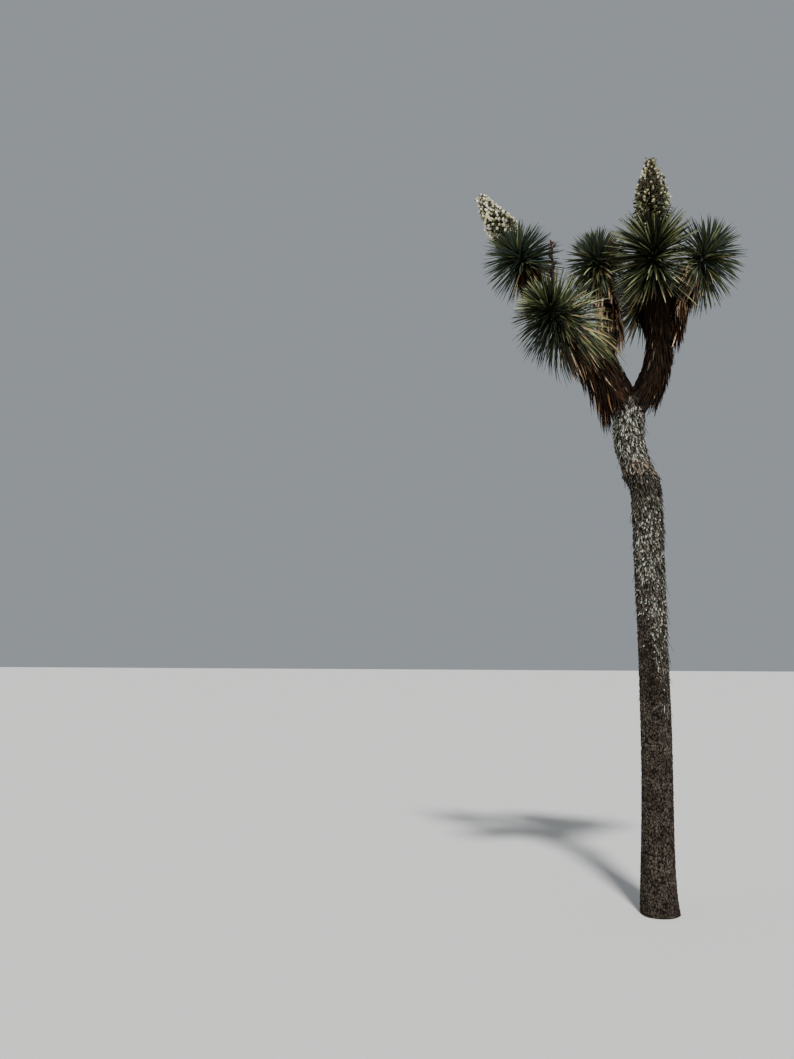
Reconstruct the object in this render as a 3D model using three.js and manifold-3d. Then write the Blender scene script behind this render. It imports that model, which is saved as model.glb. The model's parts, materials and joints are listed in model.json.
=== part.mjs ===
// A Joshua tree in flower. A tall shaggy trunk forks into two boughs, and four limbs leave the boughs.
// Each of the six ends in a round head of dagger leaves, with a skirt of dead leaves hanging below it.
// Two heads carry a panicle of blossom, and two dry fruit stalks stand between the heads.
// Millimetres, +Z up. The origin is the centre of the flat cut at ground level. The front looks along +Y.
import * as THREE from "three";
import { mergeVertices } from "three/addons/utils/BufferGeometryUtils.js";
import Module from "manifold-3d";

const wasm = await Module();
wasm.setup();

// Clear space between two solids that meet, and the least space between a leaf and what it passes.
const GAP = 0.4;
const LEAF_CLEARANCE = 1;

// The turn from one leaf to the next on every stem of this plant, in radians.
const GOLDEN_TURN = Math.PI * (3 - Math.sqrt(5));

// Trunk: a long bow, a step to the left at the knee, a waist, and a root flare that is stronger on the right.
const TRUNK = {
  height: 3095,
  crown: 85,
  crownRises: [30, 58, 78],
  bow: 17,
  bowBack: -26,
  kneeLow: 2500,
  kneeHigh: 2900,
  kneeStep: -100,
  waist: 92,
  footSwell: 12,
  footSwellReach: 520,
  flare: 0.28,
  flareReach: 120,
  flareToRight: 0.5,
  ring: 9,
  ringHeight: 2670,
  ringReach: 55,
  sides: 18,
};

// The trunk's surface is laid in courses. Low down a course is a row of corky plates. Higher up it is a row
// of tufts, broken leaf bases that point down and out. They start lower on the right than on the left.
const COURSES = {
  spacing: 86,
  to: 2950,
  rimsFrom: 1110,
  plate: 5,
  tuck: -8,
  tip: 15,
  notch: -2,
  unevenness: 5,
  rimAbove: 11,
  tipDrop: 16,
  leftFrom: 1680,
  rightFrom: 1220,
  fade: 340,
};

// Shallow flutes wind up the trunk: each set has a depth, a number of flutes and a height per radian of turn.
const FLUTES = [
  { depth: 0.035, count: 3, wind: 380 },
  { depth: 0.0175, count: 5, wind: -240 },
];

// Limbs: each leaves its parent's middle line in one direction, and arrives at a head along the head's axis.
// The boughs leave the trunk at a height, and the others leave a bough at a share of its length.
const LIMB = { sides: 10, rings: 6, pull: 0.42, taper: 0.8 };
const LIMBS = {
  bough_left: { head: "head_front_left", height: 3050, leaving: [-0.42, -0.05, 0.9], foot: 80, tip: 56 },
  bough_right: { head: "head_right", height: 3050, leaving: [0.68, 0, 0.73], foot: 80, tip: 56 },
  limb_outer_left: {
    head: "head_outer_left", parent: "bough_left", at: 0.72, leaving: [-0.5, 0.3, 0.8], foot: 54, tip: 46,
  },
  limb_centre: {
    head: "head_centre", parent: "bough_left", at: 0.57, leaving: [0.25, 0.4, 0.88], foot: 56, tip: 46,
  },
  limb_far_right: {
    head: "head_far_right", parent: "bough_right", at: 0.52, leaving: [0.6, 0.1, 0.8], foot: 54, tip: 46,
  },
  limb_back: {
    head: "head_back", parent: "bough_right", at: 0.52, leaving: [0.1, 0.93, 0.35], foot: 56, tip: 46,
  },
};

// Heads: the foot, axis and length of the leafy stem, the reach of its leaves, the share of the stem that is
// bare, the angle of the oldest leaves from the axis in degrees, and the turn of the first leaf.
const HEADS = {
  head_right: {
    foot: [96, -90, 3820],
    axis: [-0.05, -0.17, 0.984],
    length: 310,
    reach: 320,
    bare: 0.4,
    oldest: 128,
    leaves: 96,
    turn: 4.2,
  },
  head_outer_left: {
    foot: [-695, 37, 4005],
    axis: [-0.47, 0.07, 0.88],
    length: 250,
    reach: 240,
    bare: 0.66,
    oldest: 126,
    leaves: 68,
    turn: 0.4,
  },
  head_front_left: {
    foot: [-395, -120, 3570],
    axis: [-0.53, -0.78, 0.32],
    length: 320,
    reach: 290,
    bare: 0.36,
    oldest: 122,
    leaves: 84,
    turn: 1.9,
  },
  head_far_right: {
    foot: [292, 30, 3905],
    axis: [0.53, 0.17, 0.83],
    length: 270,
    reach: 258,
    bare: 0.38,
    oldest: 142,
    leaves: 70,
    turn: 5.3,
  },
  head_centre: {
    foot: [-245, 200, 4015],
    axis: [-0.18, 0.26, 0.948],
    length: 215,
    reach: 225,
    bare: 0.34,
    oldest: 142,
    leaves: 66,
    turn: 3.1,
  },
  head_back: {
    foot: [50, 290, 3790],
    axis: [-0.34, 0.38, 0.86],
    length: 210,
    reach: 245,
    bare: 0.4,
    oldest: 128,
    leaves: 54,
    turn: 0.9,
  },
};
const STEM = { middle: 62, tip: 32, sides: 8, rings: 3 };

// A head's leaves: the oldest grow lowest and are bent back, and the youngest stand up at the tip.
// Angles are in degrees. Lengths are shares of the head's reach, and the highest root is a share of its stem.
const LEAF = {
  sides: 3,
  width: 36,
  thick: 11,
  shoulder: 0.24,
  youngestAngle: 12,
  angleSpread: 7,
  droop: 0.16,
  highestRoot: 0.95,
  shortest: 0.86,
  longest: 1.04,
  youngShorter: 0.32,
  leastTrimmed: 0.6,
  trimStep: 0.1,
};

// Skirts: dead leaves packed round a limb from a share of its length upwards, thicker on its underside.
const SKIRTS = {
  skirt_left: { limb: "bough_left", from: 0.2, pack: 30, belly: 0.75, leaves: 40, hang: 225, turn: 0.2 },
  skirt_right: { limb: "bough_right", from: 0.2, pack: 16, belly: 0.2, leaves: 38, hang: 140, turn: 1.1 },
  skirt_outer_left: {
    limb: "limb_outer_left", from: 0.26, pack: 16, belly: 0.2, leaves: 18, hang: 180, turn: 2.3,
  },
  skirt_centre: { limb: "limb_centre", from: 0.3, pack: 20, belly: 0.2, leaves: 22, hang: 200, turn: 3.3 },
  skirt_far_right: {
    limb: "limb_far_right", from: 0.34, pack: 16, belly: 0.2, leaves: 19, hang: 170, turn: 4.1,
  },
  skirt_back: { limb: "limb_back", from: 0.4, pack: 16, belly: 0.2, leaves: 14, hang: 150, turn: 5.7 },
};
const SKIRT = { packTo: 0.97, firstLeaf: 0.05, leavesTo: 0.96, sides: 9, rings: 5 };

// A dead leaf stands off its limb by an angle and falls. On the limb's upper side it is short and pressed.
const DEAD_LEAF = {
  sides: 3,
  width: 32,
  thick: 11,
  shoulder: 0.34,
  lift: 20,
  liftSpread: 0.3,
  fall: 0.62,
  leastFall: 0.12,
  shelter: 0.6,
  shelterFrom: -0.1,
  shelterTo: 0.35,
  lengthSpread: 0.15,
};

// Panicles of blossom: a short bare stalk, then flowers that narrow from a shoulder to a neck.
const PANICLES = {
  panicle_left: {
    head: "head_outer_left",
    axis: [-0.5, 0.06, 0.86],
    length: 425,
    radius: 118,
    shoulder: 0.3,
    neck: 1.15,
    tip: 0.2,
    flowers: 28,
    turn: 0.3,
  },
  panicle_right: {
    head: "head_right",
    axis: [0, -0.12, 0.993],
    length: 470,
    radius: 122,
    shoulder: 0.5,
    neck: 1,
    tip: 0.22,
    flowers: 30,
    turn: 2.2,
  },
};

// The bare stalk ends at a share of the packed middle, and the flowers stand out of that middle.
const PANICLE = {
  bare: 45,
  stalk: 22,
  stalkEnd: 0.3,
  roundFrom: 0.06,
  roundTo: 0.3,
  packed: 0.66,
  packFrom: 0.04,
  packTo: 0.93,
  standing: 0.8,
  lowest: 0.08,
  highest: 0.965,
  crowding: 1.12,
  sides: 7,
  rings: 6,
};
const FLOWER = {
  sides: 4,
  length: 66,
  width: 48,
  shoulder: 0.55,
  lowAngle: 84,
  highAngle: 22,
  lowSize: 1.08,
  highSize: 0.8,
  sizeSpread: 0.1,
};

// Dry fruit stalks: each stands up from the middle line of a limb, and its upper half bears pods.
const FRUIT_STALKS = {
  fruit_stalk_left: { limb: "limb_outer_left", at: 0.66, tip: [-566, -20, 4232], turn: 0.5 },
  fruit_stalk_centre: { limb: "limb_centre", at: 0.7, tip: [-164, 105, 4246], turn: 1.7 },
};
const FRUIT_STEM = { foot: 15, tip: 5, sides: 5, rings: 2 };
const POD = {
  count: 7,
  sides: 4,
  length: 48,
  width: 24,
  shoulder: 0.6,
  sunk: 4,
  angle: 62,
  lowest: 0.52,
  highest: 0.93,
};

const COLOURS = {
  bark: { color: 0x6f6356, roughness: 0.95, metalness: 0 },
  leaf: { color: 0x66734a, roughness: 0.6, metalness: 0 },
  deadLeaf: { color: 0x7a5234, roughness: 0.9, metalness: 0 },
  blossom: { color: 0xd9d8b8, roughness: 0.7, metalness: 0 },
  fruit: { color: 0x4a2a22, roughness: 0.9, metalness: 0 },
};

const { clamp, degToRad, euclideanModulo, lerp, smoothstep } = THREE.MathUtils;
const INTO_THE_VIEW = new THREE.Vector3(0, 1, 0);
const vector = (list) => new THREE.Vector3(...list);
const direction = (list) => vector(list).normalize();

// A repeatable number from 0 to 1 for a count, for the turn of the mass it is in, and for one use.
function chance(count, turn, use) {
  const wave = Math.sin(count * 12.9898 + turn * 78.233 + use * 37.719) * 43758.5453;
  return wave - Math.floor(wave);
}

// A number within a spread of 1.
const about = (spread, draw) => lerp(1 - spread, 1 + spread, draw);

// Two directions square to an axis and to each other.
function squareTo(axis) {
  const side = INTO_THE_VIEW.clone().cross(axis).normalize();
  return [side, axis.clone().cross(side)];
}

// The direction that leans away from an axis by an angle, at a turn round it.
function swung(axis, angle, turn) {
  const [side, other] = squareTo(axis);
  return axis
    .clone()
    .multiplyScalar(Math.cos(angle))
    .addScaledVector(side, Math.sin(angle) * Math.cos(turn))
    .addScaledVector(other, Math.sin(angle) * Math.sin(turn));
}

// A closed body from the positions of a geometry, with shared vertices merged.
function solidOf(geometry) {
  const bare = new THREE.BufferGeometry().setAttribute("position", geometry.getAttribute("position"));
  const merged = mergeVertices(bare.setIndex(geometry.index), 1e-3);
  const vertProperties = new Float32Array(merged.attributes.position.array);
  const triVerts = new Uint32Array(merged.index.array);
  return new wasm.Manifold(new wasm.Mesh({ numProp: 3, vertProperties, triVerts }));
}

// The same geometry with its faces turned round.
function flipped(geometry) {
  const index = geometry.index.array;
  for (let i = 0; i < index.length; i += 3) {
    [index[i + 1], index[i + 2]] = [index[i + 2], index[i + 1]];
  }
  return geometry;
}

// A body turned from a profile of (radius, height), whose points are then placed by a rule of height, angle
// and radius.
function turned(profile, sides, place) {
  const lathe = new THREE.LatheGeometry(profile.map((pair) => new THREE.Vector2(...pair)), sides);
  const points = lathe.getAttribute("position");
  const spot = new THREE.Vector3();
  for (let i = 0; i < points.count; i++) {
    spot.fromBufferAttribute(points, i);
    place(spot, spot.y, Math.atan2(spot.z, spot.x), Math.hypot(spot.x, spot.z));
    points.setXYZ(i, spot.x, spot.y, spot.z);
  }
  const made = solidOf(lathe);
  return made.volume() < 0 ? solidOf(flipped(lathe)) : made;
}

// A spike from a root to a tip, widest at its shoulder. It has a keel below where it has three sides.
function spike(root, along, across, length, size) {
  const facing = across.clone().cross(along);
  const thick = size.thick ?? size.width;
  return turned([[0, 0], [1, size.shoulder], [0, 1]], size.sides, (spot, share, angle, radius) => {
    spot.copy(root).addScaledVector(along, share * length);
    spot.addScaledVector(across, (radius * Math.cos(angle) * size.width) / 2);
    spot.addScaledVector(facing, (radius * Math.sin(angle) * thick) / 2);
  });
}

// The point, the tangent and two directions square to it, at a share of a curve's length.
function frameAt(curve, share) {
  const part = clamp(share, 0, 1);
  const tangent = curve.getTangentAt(part);
  const [side, other] = squareTo(tangent);
  return { point: curve.getPointAt(part), tangent, side, other };
}

// The direction out of a curve's frame at an angle round it.
function outward(frame, angle) {
  return frame.side.clone().multiplyScalar(Math.cos(angle)).addScaledVector(frame.other, Math.sin(angle));
}

// How many times thicker a body with a belly is in a direction: only its underside is thicker.
const bulge = (belly, out) => 1 + belly * Math.max(0, -out.z);

// A body round a curve between two shares of its length, whose radius is a rule of the share.
function sleeve(curve, [from, to], radiusAt, { sides, rings }, belly = 0) {
  const profile = [[0, 0]];
  for (let ring = 0; ring <= rings; ring++) {
    profile.push([radiusAt(lerp(from, to, ring / rings)), ring]);
  }
  profile.push([0, rings]);
  return turned(profile, sides, (spot, ring, angle, radius) => {
    const frame = frameAt(curve, lerp(from, to, ring / rings));
    const out = outward(frame, angle);
    spot.copy(frame.point).addScaledVector(out, radius * bulge(belly, out));
  });
}

// The largest body of a solid, without any loose scrap.
function largest(solid) {
  return solid.decompose().reduce((best, body) => (body.volume() > best.volume() ? body : best));
}

const fused = (pieces) => largest(wasm.Manifold.union(pieces));
const cutClear = (solid, cutters) => largest(wasm.Manifold.difference([solid, ...cutters]));

// The middle of the trunk at a height.
function trunkCentre(z) {
  const bow = TRUNK.bow * Math.sin((Math.PI * Math.min(z, TRUNK.kneeLow)) / TRUNK.kneeLow);
  const knee = TRUNK.kneeStep * smoothstep(z, TRUNK.kneeLow, TRUNK.kneeHigh);
  return new THREE.Vector3(bow + knee, TRUNK.bowBack * Math.sin((Math.PI * z) / TRUNK.height), z);
}

function trunkRadius(z) {
  const foot = TRUNK.footSwell * Math.exp(-((z / TRUNK.footSwellReach) ** 2));
  const ring = TRUNK.ring * Math.exp(-(((z - TRUNK.ringHeight) / TRUNK.ringReach) ** 2));
  return TRUNK.waist + foot + ring;
}

// A place of the trunk with no relief.
const FLAT = { lift: 0, drop: 0 };

// What the trunk's radius is multiplied by at a height and an angle, for its flutes and its root flare.
function trunkSection(z, angle) {
  const flutes = FLUTES.map(({ depth, count, wind }) => depth * Math.sin(count * angle + z / wind));
  const right = 1 + TRUNK.flareToRight * (Math.cos(angle) - 1);
  const flare = TRUNK.flare * right * Math.exp(-z / TRUNK.flareReach);
  return flutes.reduce((sum, flute) => sum + flute, 1 + flare);
}

// How far tufts have taken over from plates, from 0 to 1, at a height and an angle.
function tufted(z, angle) {
  const from = lerp(COURSES.leftFrom, COURSES.rightFrom, (1 + Math.cos(angle)) / 2);
  return smoothstep(z, from - COURSES.fade, from + COURSES.fade);
}

// Where the trunk's surface lies at one place of a course: its lift off the mean radius, and its drop.
// The foot of a course is tucked in. On the rim above it, tips and notches take turns round the trunk.
function coursePlace(course, isRim, angle) {
  const z = course * COURSES.spacing;
  const place = euclideanModulo(Math.round((angle * TRUNK.sides) / (2 * Math.PI)), TRUNK.sides);
  const draw = 2 * chance(place, course, isRim ? 6 : 7) - 1;
  const isTip = isRim && (place + course) % 2 === 0;
  const rise = isTip ? COURSES.tip : isRim ? COURSES.notch : COURSES.tuck;
  const share = tufted(z, angle);
  return {
    lift: lerp(COURSES.plate * draw, rise + COURSES.unevenness * draw, share),
    drop: isTip ? share * COURSES.tipDrop * (1 + draw / 2) : 0,
  };
}

// The rings of the trunk up to its top: each has a height, and a course where it has a relief.
function trunkRings() {
  const rings = [{ z: 0 }];
  for (let course = 1; course * COURSES.spacing < COURSES.to; course++) {
    const z = course * COURSES.spacing;
    rings.push({ z, course, isRim: false });
    if (z > COURSES.rimsFrom) rings.push({ z: z + COURSES.rimAbove, course, isRim: true });
  }
  rings.push({ z: (COURSES.to + TRUNK.height) / 2 }, { z: TRUNK.height });
  return rings;
}

// The trunk with its rounded crown, grown by a margin.
function trunkSolid(margin) {
  const rings = trunkRings();
  for (const rise of TRUNK.crownRises.map(degToRad)) {
    rings.push({ z: TRUNK.height + (TRUNK.crown + margin) * Math.sin(rise), narrowed: Math.cos(rise) });
  }
  rings.push({ z: TRUNK.height + TRUNK.crown + margin, narrowed: 0 });
  const radiusOf = ({ z, narrowed = 1 }) => (trunkRadius(z) + margin) * narrowed;
  const profile = [[0, 0], ...rings.map((ring, index) => [radiusOf(ring), index])];
  return turned(profile, TRUNK.sides, (spot, index, angle, radius) => {
    const { z, course, isRim } = rings[index];
    const { lift, drop } = course ? coursePlace(course, isRim, angle) : FLAT;
    const reach = radius * trunkSection(z, angle) + lift;
    spot.set(reach * Math.cos(angle), reach * Math.sin(angle), -drop).add(trunkCentre(z));
  });
}

// The middle line of a limb.
function limbCurve(name) {
  const limb = LIMBS[name];
  const head = HEADS[limb.head];
  const start = limb.parent ? limbCurve(limb.parent).getPointAt(limb.at) : trunkCentre(limb.height);
  const end = vector(head.foot);
  const pull = start.distanceTo(end) * LIMB.pull;
  const leaving = start.clone().addScaledVector(direction(limb.leaving), pull);
  const arriving = end.clone().addScaledVector(direction(head.axis), -pull);
  return new THREE.CubicBezierCurve3(start, leaving, arriving, end);
}

const limbRadius = (name, share) => lerp(LIMBS[name].foot, LIMBS[name].tip, Math.pow(share, LIMB.taper));

// A limb, grown by a margin.
function limbSolid(name, margin) {
  return sleeve(limbCurve(name), [0, 1], (share) => limbRadius(name, share) + margin, LIMB);
}

// The middle line of a head's stem, which starts a gap above its limb.
function stemLine(name) {
  const head = HEADS[name];
  const foot = vector(head.foot).addScaledVector(direction(head.axis), GAP);
  return new THREE.LineCurve3(foot, foot.clone().addScaledVector(direction(head.axis), head.length));
}

// A stem starts as wide as its limb ends, swells to its middle and narrows to its tip.
function stemRadius(name, share) {
  const foot = Object.values(LIMBS).find((limb) => limb.head === name).tip;
  const swell = STEM.middle - (foot + STEM.tip) / 2;
  return lerp(foot, STEM.tip, share) + 4 * share * (1 - share) * swell;
}

function awayFromStem(name, point) {
  const line = stemLine(name);
  const nearest = new THREE.Line3(line.v1, line.v2).closestPointToPoint(point, true, new THREE.Vector3());
  return nearest.distanceTo(point);
}

// A head keeps to the space that is nearer to its own stem than to any other.
function inOwnSpace(name, point) {
  const own = awayFromStem(name, point) + 2 * LEAF.thick;
  return Object.keys(HEADS).every((other) => other === name || awayFromStem(other, point) > own);
}

// The share of its reach that a leaf keeps so that it stays in its head's space, or 0 where it can't.
function trimmed(name, root, along, skin, reach) {
  for (let part = 1; part >= LEAF.leastTrimmed; part -= LEAF.trimStep) {
    if (inOwnSpace(name, root.clone().addScaledVector(along, skin + reach * part))) return part;
  }
  return 0;
}

// The leaves of a head, spread evenly over a ball, from the oldest to the youngest.
function headLeaves(name) {
  const head = HEADS[name];
  const axis = direction(head.axis);
  const line = stemLine(name);
  const leaves = [];
  for (let i = 0; i < head.leaves; i++) {
    const youth = (i + 0.5) / head.leaves;
    const level = lerp(Math.cos(degToRad(head.oldest)), Math.cos(degToRad(LEAF.youngestAngle)), youth);
    const angle = Math.acos(level) + degToRad(LEAF.angleSpread) * (2 * chance(i, head.turn, 1) - 1);
    const along = swung(axis, angle, i * GOLDEN_TURN + head.turn);
    along.z -= LEAF.droop * (1 - youth) * (1 - Math.abs(along.z));
    along.normalize();
    const share = lerp(head.bare, LEAF.highestRoot, youth);
    const root = line.getPoint(share);
    const skin = stemRadius(name, share);
    const size = lerp(LEAF.shortest, LEAF.longest, chance(i, head.turn, 2));
    const reach = head.reach * size * (1 - LEAF.youngShorter * youth * youth);
    const part = trimmed(name, root, along, skin, reach);
    if (part === 0) continue;
    leaves.push(spike(root, along, axis.clone().cross(along).normalize(), skin + reach * part, LEAF));
  }
  return leaves;
}

// The packed part of a skirt, grown by a margin.
function skirtPack(name, margin) {
  const { limb, from, pack, belly } = SKIRTS[name];
  const radiusAt = (share) => limbRadius(limb, share) + pack + margin;
  return sleeve(limbCurve(limb), [from, SKIRT.packTo], radiusAt, SKIRT, belly);
}

// The loose leaves of a skirt, from the lowest to the highest.
function skirtLeaves(name) {
  const skirt = SKIRTS[name];
  const curve = limbCurve(skirt.limb);
  const leaves = [];
  for (let i = 0; i < skirt.leaves; i++) {
    const share = lerp(skirt.from + SKIRT.firstLeaf, SKIRT.leavesTo, (i + 0.5) / skirt.leaves);
    const frame = frameAt(curve, share);
    const out = outward(frame, i * GOLDEN_TURN + skirt.turn);
    const free = 1 - DEAD_LEAF.shelter * smoothstep(out.z, DEAD_LEAF.shelterFrom, DEAD_LEAF.shelterTo);
    const lift = degToRad(DEAD_LEAF.lift) * free * about(DEAD_LEAF.liftSpread, chance(i, skirt.turn, 3));
    const along = frame.tangent.clone().multiplyScalar(-Math.cos(lift)).addScaledVector(out, Math.sin(lift));
    along.z -= DEAD_LEAF.fall * Math.max(0, -out.z) + DEAD_LEAF.leastFall;
    along.normalize();
    const skin = (limbRadius(skirt.limb, share) + skirt.pack) * bulge(skirt.belly, out);
    const root = frame.point.clone().addScaledVector(out, skin - DEAD_LEAF.thick);
    const length = skirt.hang * free * about(DEAD_LEAF.lengthSpread, chance(i, skirt.turn, 4));
    leaves.push(spike(root, along, out.clone().cross(along).normalize(), length, DEAD_LEAF));
  }
  return leaves;
}

// The envelope of a panicle at a share of its length: rounded at the foot, full to its shoulder, then less.
function panicleRadius(panicle, share) {
  const rounding = Math.min(1, (share + PANICLE.roundFrom) / PANICLE.roundTo);
  const narrowing = lerp(1, panicle.tip, smoothstep(share, panicle.shoulder, panicle.neck));
  return panicle.radius * Math.sin((Math.PI / 2) * rounding) * narrowing;
}

// A panicle: its bare stalk leaves along the head's axis and bends to the panicle's own.
function panicleSolid(name) {
  const panicle = PANICLES[name];
  const headAxis = direction(HEADS[panicle.head].axis);
  const axis = direction(panicle.axis);
  const foot = stemLine(panicle.head).v2.clone().addScaledVector(headAxis, GAP);
  const bend = foot.clone().addScaledVector(headAxis, PANICLE.bare);
  const line = new THREE.LineCurve3(bend, bend.clone().addScaledVector(axis, panicle.length));
  const stalk = new THREE.QuadraticBezierCurve3(foot, bend, line.getPoint(PANICLE.stalkEnd));
  const packedRadius = (share) => PANICLE.packed * panicleRadius(panicle, share);
  const pieces = [
    sleeve(stalk, [0, 1], () => PANICLE.stalk, { sides: PANICLE.sides, rings: 2 }),
    sleeve(line, [PANICLE.packFrom, PANICLE.packTo], packedRadius, PANICLE),
  ];
  for (let i = 0; i < panicle.flowers; i++) {
    const height = Math.pow((i + 0.5) / panicle.flowers, PANICLE.crowding);
    const share = lerp(PANICLE.lowest, PANICLE.highest, height);
    const turn = i * GOLDEN_TURN + panicle.turn;
    const along = swung(axis, degToRad(lerp(FLOWER.lowAngle, FLOWER.highAngle, share)), turn);
    const spread = about(FLOWER.sizeSpread, chance(i, panicle.turn, 5));
    const size = lerp(FLOWER.lowSize, FLOWER.highSize, share) * spread;
    const stand = PANICLE.standing * panicleRadius(panicle, share);
    const middle = line.getPoint(share).addScaledVector(swung(axis, Math.PI / 2, turn), stand);
    const root = middle.addScaledVector(along, (-FLOWER.length * size) / 2);
    const flower = { ...FLOWER, width: FLOWER.width * size };
    pieces.push(spike(root, along, axis.clone().cross(along).normalize(), FLOWER.length * size, flower));
  }
  return fused(pieces);
}

// The middle line of a fruit stalk.
function fruitLine(name) {
  const stalk = FRUIT_STALKS[name];
  return new THREE.LineCurve3(limbCurve(stalk.limb).getPointAt(stalk.at), vector(stalk.tip));
}

// The bare stem of a fruit stalk, grown by a margin.
function fruitStem(name, margin) {
  const radiusAt = (share) => lerp(FRUIT_STEM.foot, FRUIT_STEM.tip, share) + margin;
  return sleeve(fruitLine(name), [0, 1], radiusAt, FRUIT_STEM);
}

// A fruit stalk with its pods.
function fruitStalkSolid(name) {
  const line = fruitLine(name);
  const axis = line.getTangent(0);
  const pieces = [fruitStem(name, 0)];
  for (let i = 0; i < POD.count; i++) {
    const along = swung(axis, degToRad(POD.angle), i * GOLDEN_TURN + FRUIT_STALKS[name].turn);
    const root = line.getPoint(lerp(POD.lowest, POD.highest, i / (POD.count - 1)));
    root.addScaledVector(along, -POD.sunk);
    pieces.push(spike(root, along, axis.clone().cross(along).normalize(), POD.length, POD));
  }
  return fused(pieces);
}

// The geometry of a solid, for its mesh.
function geometryOf(solid) {
  const { vertProperties, triVerts } = solid.getMesh();
  const made = new THREE.BufferGeometry()
    .setAttribute("position", new THREE.BufferAttribute(vertProperties, 3))
    .setIndex(new THREE.BufferAttribute(triVerts, 1));
  made.computeVertexNormals();
  return made;
}

const tree = new THREE.Group();
const finished = new Map();

function addPart(name, solid, colour) {
  const mesh = new THREE.Mesh(geometryOf(solid), new THREE.MeshStandardMaterial(COLOURS[colour]));
  mesh.name = name;
  tree.add(mesh);
  finished.set(name, solid);
}

// The trunk, then each limb, cut clear of what it grows from. Later solids are cut with the grown copies.
const grown = [trunkSolid(GAP)];
addPart("trunk", trunkSolid(0), "bark");
for (const name of Object.keys(LIMBS)) {
  addPart(name, cutClear(limbSolid(name, 0), grown), "bark");
  grown.push(limbSolid(name, GAP));
}

// The dry fruit stalks are seated on their limbs, and the panicles stand on the tips of their heads.
for (const name of Object.keys(FRUIT_STALKS)) {
  addPart(name, cutClear(fruitStalkSolid(name), grown), "fruit");
}
grown.push(...Object.keys(FRUIT_STALKS).map((name) => fruitStem(name, GAP)));
for (const name of Object.keys(PANICLES)) {
  addPart(name, panicleSolid(name), "blossom");
}

// The middles of all the masses come before any leaf: stems of the heads, and packed parts of the skirts.
const masses = [];
for (const name of Object.keys(HEADS)) {
  const core = sleeve(stemLine(name), [0, 1], (share) => stemRadius(name, share), STEM);
  masses.push({ name, core, leaves: headLeaves(name), colour: "leaf" });
}
for (const name of Object.keys(SKIRTS)) {
  const core = cutClear(skirtPack(name, 0), grown);
  masses.push({ name, core, leaves: skirtLeaves(name), colour: "deadLeaf", limb: SKIRTS[name].limb });
  grown.push(skirtPack(name, GAP));
}

// Their leaves: one that touches a limb, a stalk, a panicle or another mass is skipped.
for (const mass of masses) {
  const made = [...finished].filter(([name]) => name !== mass.limb).map(([, solid]) => solid);
  const waiting = masses.filter((other) => other !== mass && !finished.has(other.name));
  const passed = [...made, ...waiting.map((other) => other.core)];
  const clear = (leaf) => passed.every((solid) => leaf.minGap(solid, 2 * LEAF_CLEARANCE) > LEAF_CLEARANCE);
  const whole = fused([mass.core, ...mass.leaves.filter(clear)]);
  addPart(mass.name, mass.limb ? cutClear(whole, [limbSolid(mass.limb, GAP)]) : whole, mass.colour);
}

export default tree;
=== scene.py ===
"""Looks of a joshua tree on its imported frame: bark, leaves, blossom and dry fruit stalks.

Metres, +Z up. The tree's origin is the centre of its flat cut at ground level. The front looks along +Y.
"""
import json
import logging
import math
from dataclasses import dataclass, replace
from enum import Enum, IntEnum

import bpy
import numpy as np
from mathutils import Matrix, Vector

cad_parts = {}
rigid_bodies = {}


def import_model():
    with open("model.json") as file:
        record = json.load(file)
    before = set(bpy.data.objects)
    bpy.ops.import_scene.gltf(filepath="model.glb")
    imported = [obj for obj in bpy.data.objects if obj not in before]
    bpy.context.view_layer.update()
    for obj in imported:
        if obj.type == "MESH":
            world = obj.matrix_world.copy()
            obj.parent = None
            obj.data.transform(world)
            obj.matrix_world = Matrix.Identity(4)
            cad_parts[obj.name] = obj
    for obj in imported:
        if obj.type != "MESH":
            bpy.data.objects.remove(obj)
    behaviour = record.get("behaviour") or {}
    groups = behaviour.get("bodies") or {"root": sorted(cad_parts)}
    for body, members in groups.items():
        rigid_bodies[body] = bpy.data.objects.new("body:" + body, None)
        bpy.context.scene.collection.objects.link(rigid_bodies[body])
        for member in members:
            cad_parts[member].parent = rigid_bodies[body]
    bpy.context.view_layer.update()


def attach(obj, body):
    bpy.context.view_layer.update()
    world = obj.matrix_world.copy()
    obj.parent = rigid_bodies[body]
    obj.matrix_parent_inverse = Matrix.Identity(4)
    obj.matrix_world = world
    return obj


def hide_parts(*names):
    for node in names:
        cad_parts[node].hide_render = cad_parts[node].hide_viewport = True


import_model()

LOG = logging.getLogger("joshua_tree")

Array = np.ndarray
Triple = tuple[float, float, float]
Socket = bpy.types.NodeSocket

GOLDEN_TURN = math.pi * (3 - math.sqrt(5))
UP = np.array([0.0, 0.0, 1.0])
INTO_THE_VIEW = np.array([0.0, 1.0, 0.0])

HASH_SPREAD = (73856093, 19349663, 83492791)
HASH_SEED_STEP = 2654435761
HASH_SCRAMBLES = ((13, 1274126177), (15, 668265263))
HASH_TOP = 0x7FFFFFFF


class Seed(IntEnum):
    """Seeds that tell the noises and the stubs' random draws apart."""

    PLATE_STRAY = 2
    PLATES = 3
    PLATE_ROUGH = 4
    TONE_WIDE = 5
    TONE_NARROW = 6
    LIMB_COARSE = 11
    LIMB_FINE = 12
    STUBS = 21
    STUB_PATCHES = 22
    STEM = 31
    MAT = 41
    BLOSSOM = 51


def unit(vectors: Array | Triple) -> Array:
    """Vectors of length 1 in the directions of the given ones."""
    vectors = np.asarray(vectors, float)
    return vectors / np.maximum(np.linalg.norm(vectors, axis=-1, keepdims=True), 1e-12)


def mix(low: Array, high: Array, share: Array) -> Array:
    """Values between two, at a share of the way."""
    return low + (high - low) * share


def smooth(value: Array, low: float, high: float) -> Array:
    """0 below low, 1 above high, and a smooth step between them."""
    share = np.clip((np.asarray(value) - low) / (high - low), 0, 1)
    return share * share * (3 - 2 * share)


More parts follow.
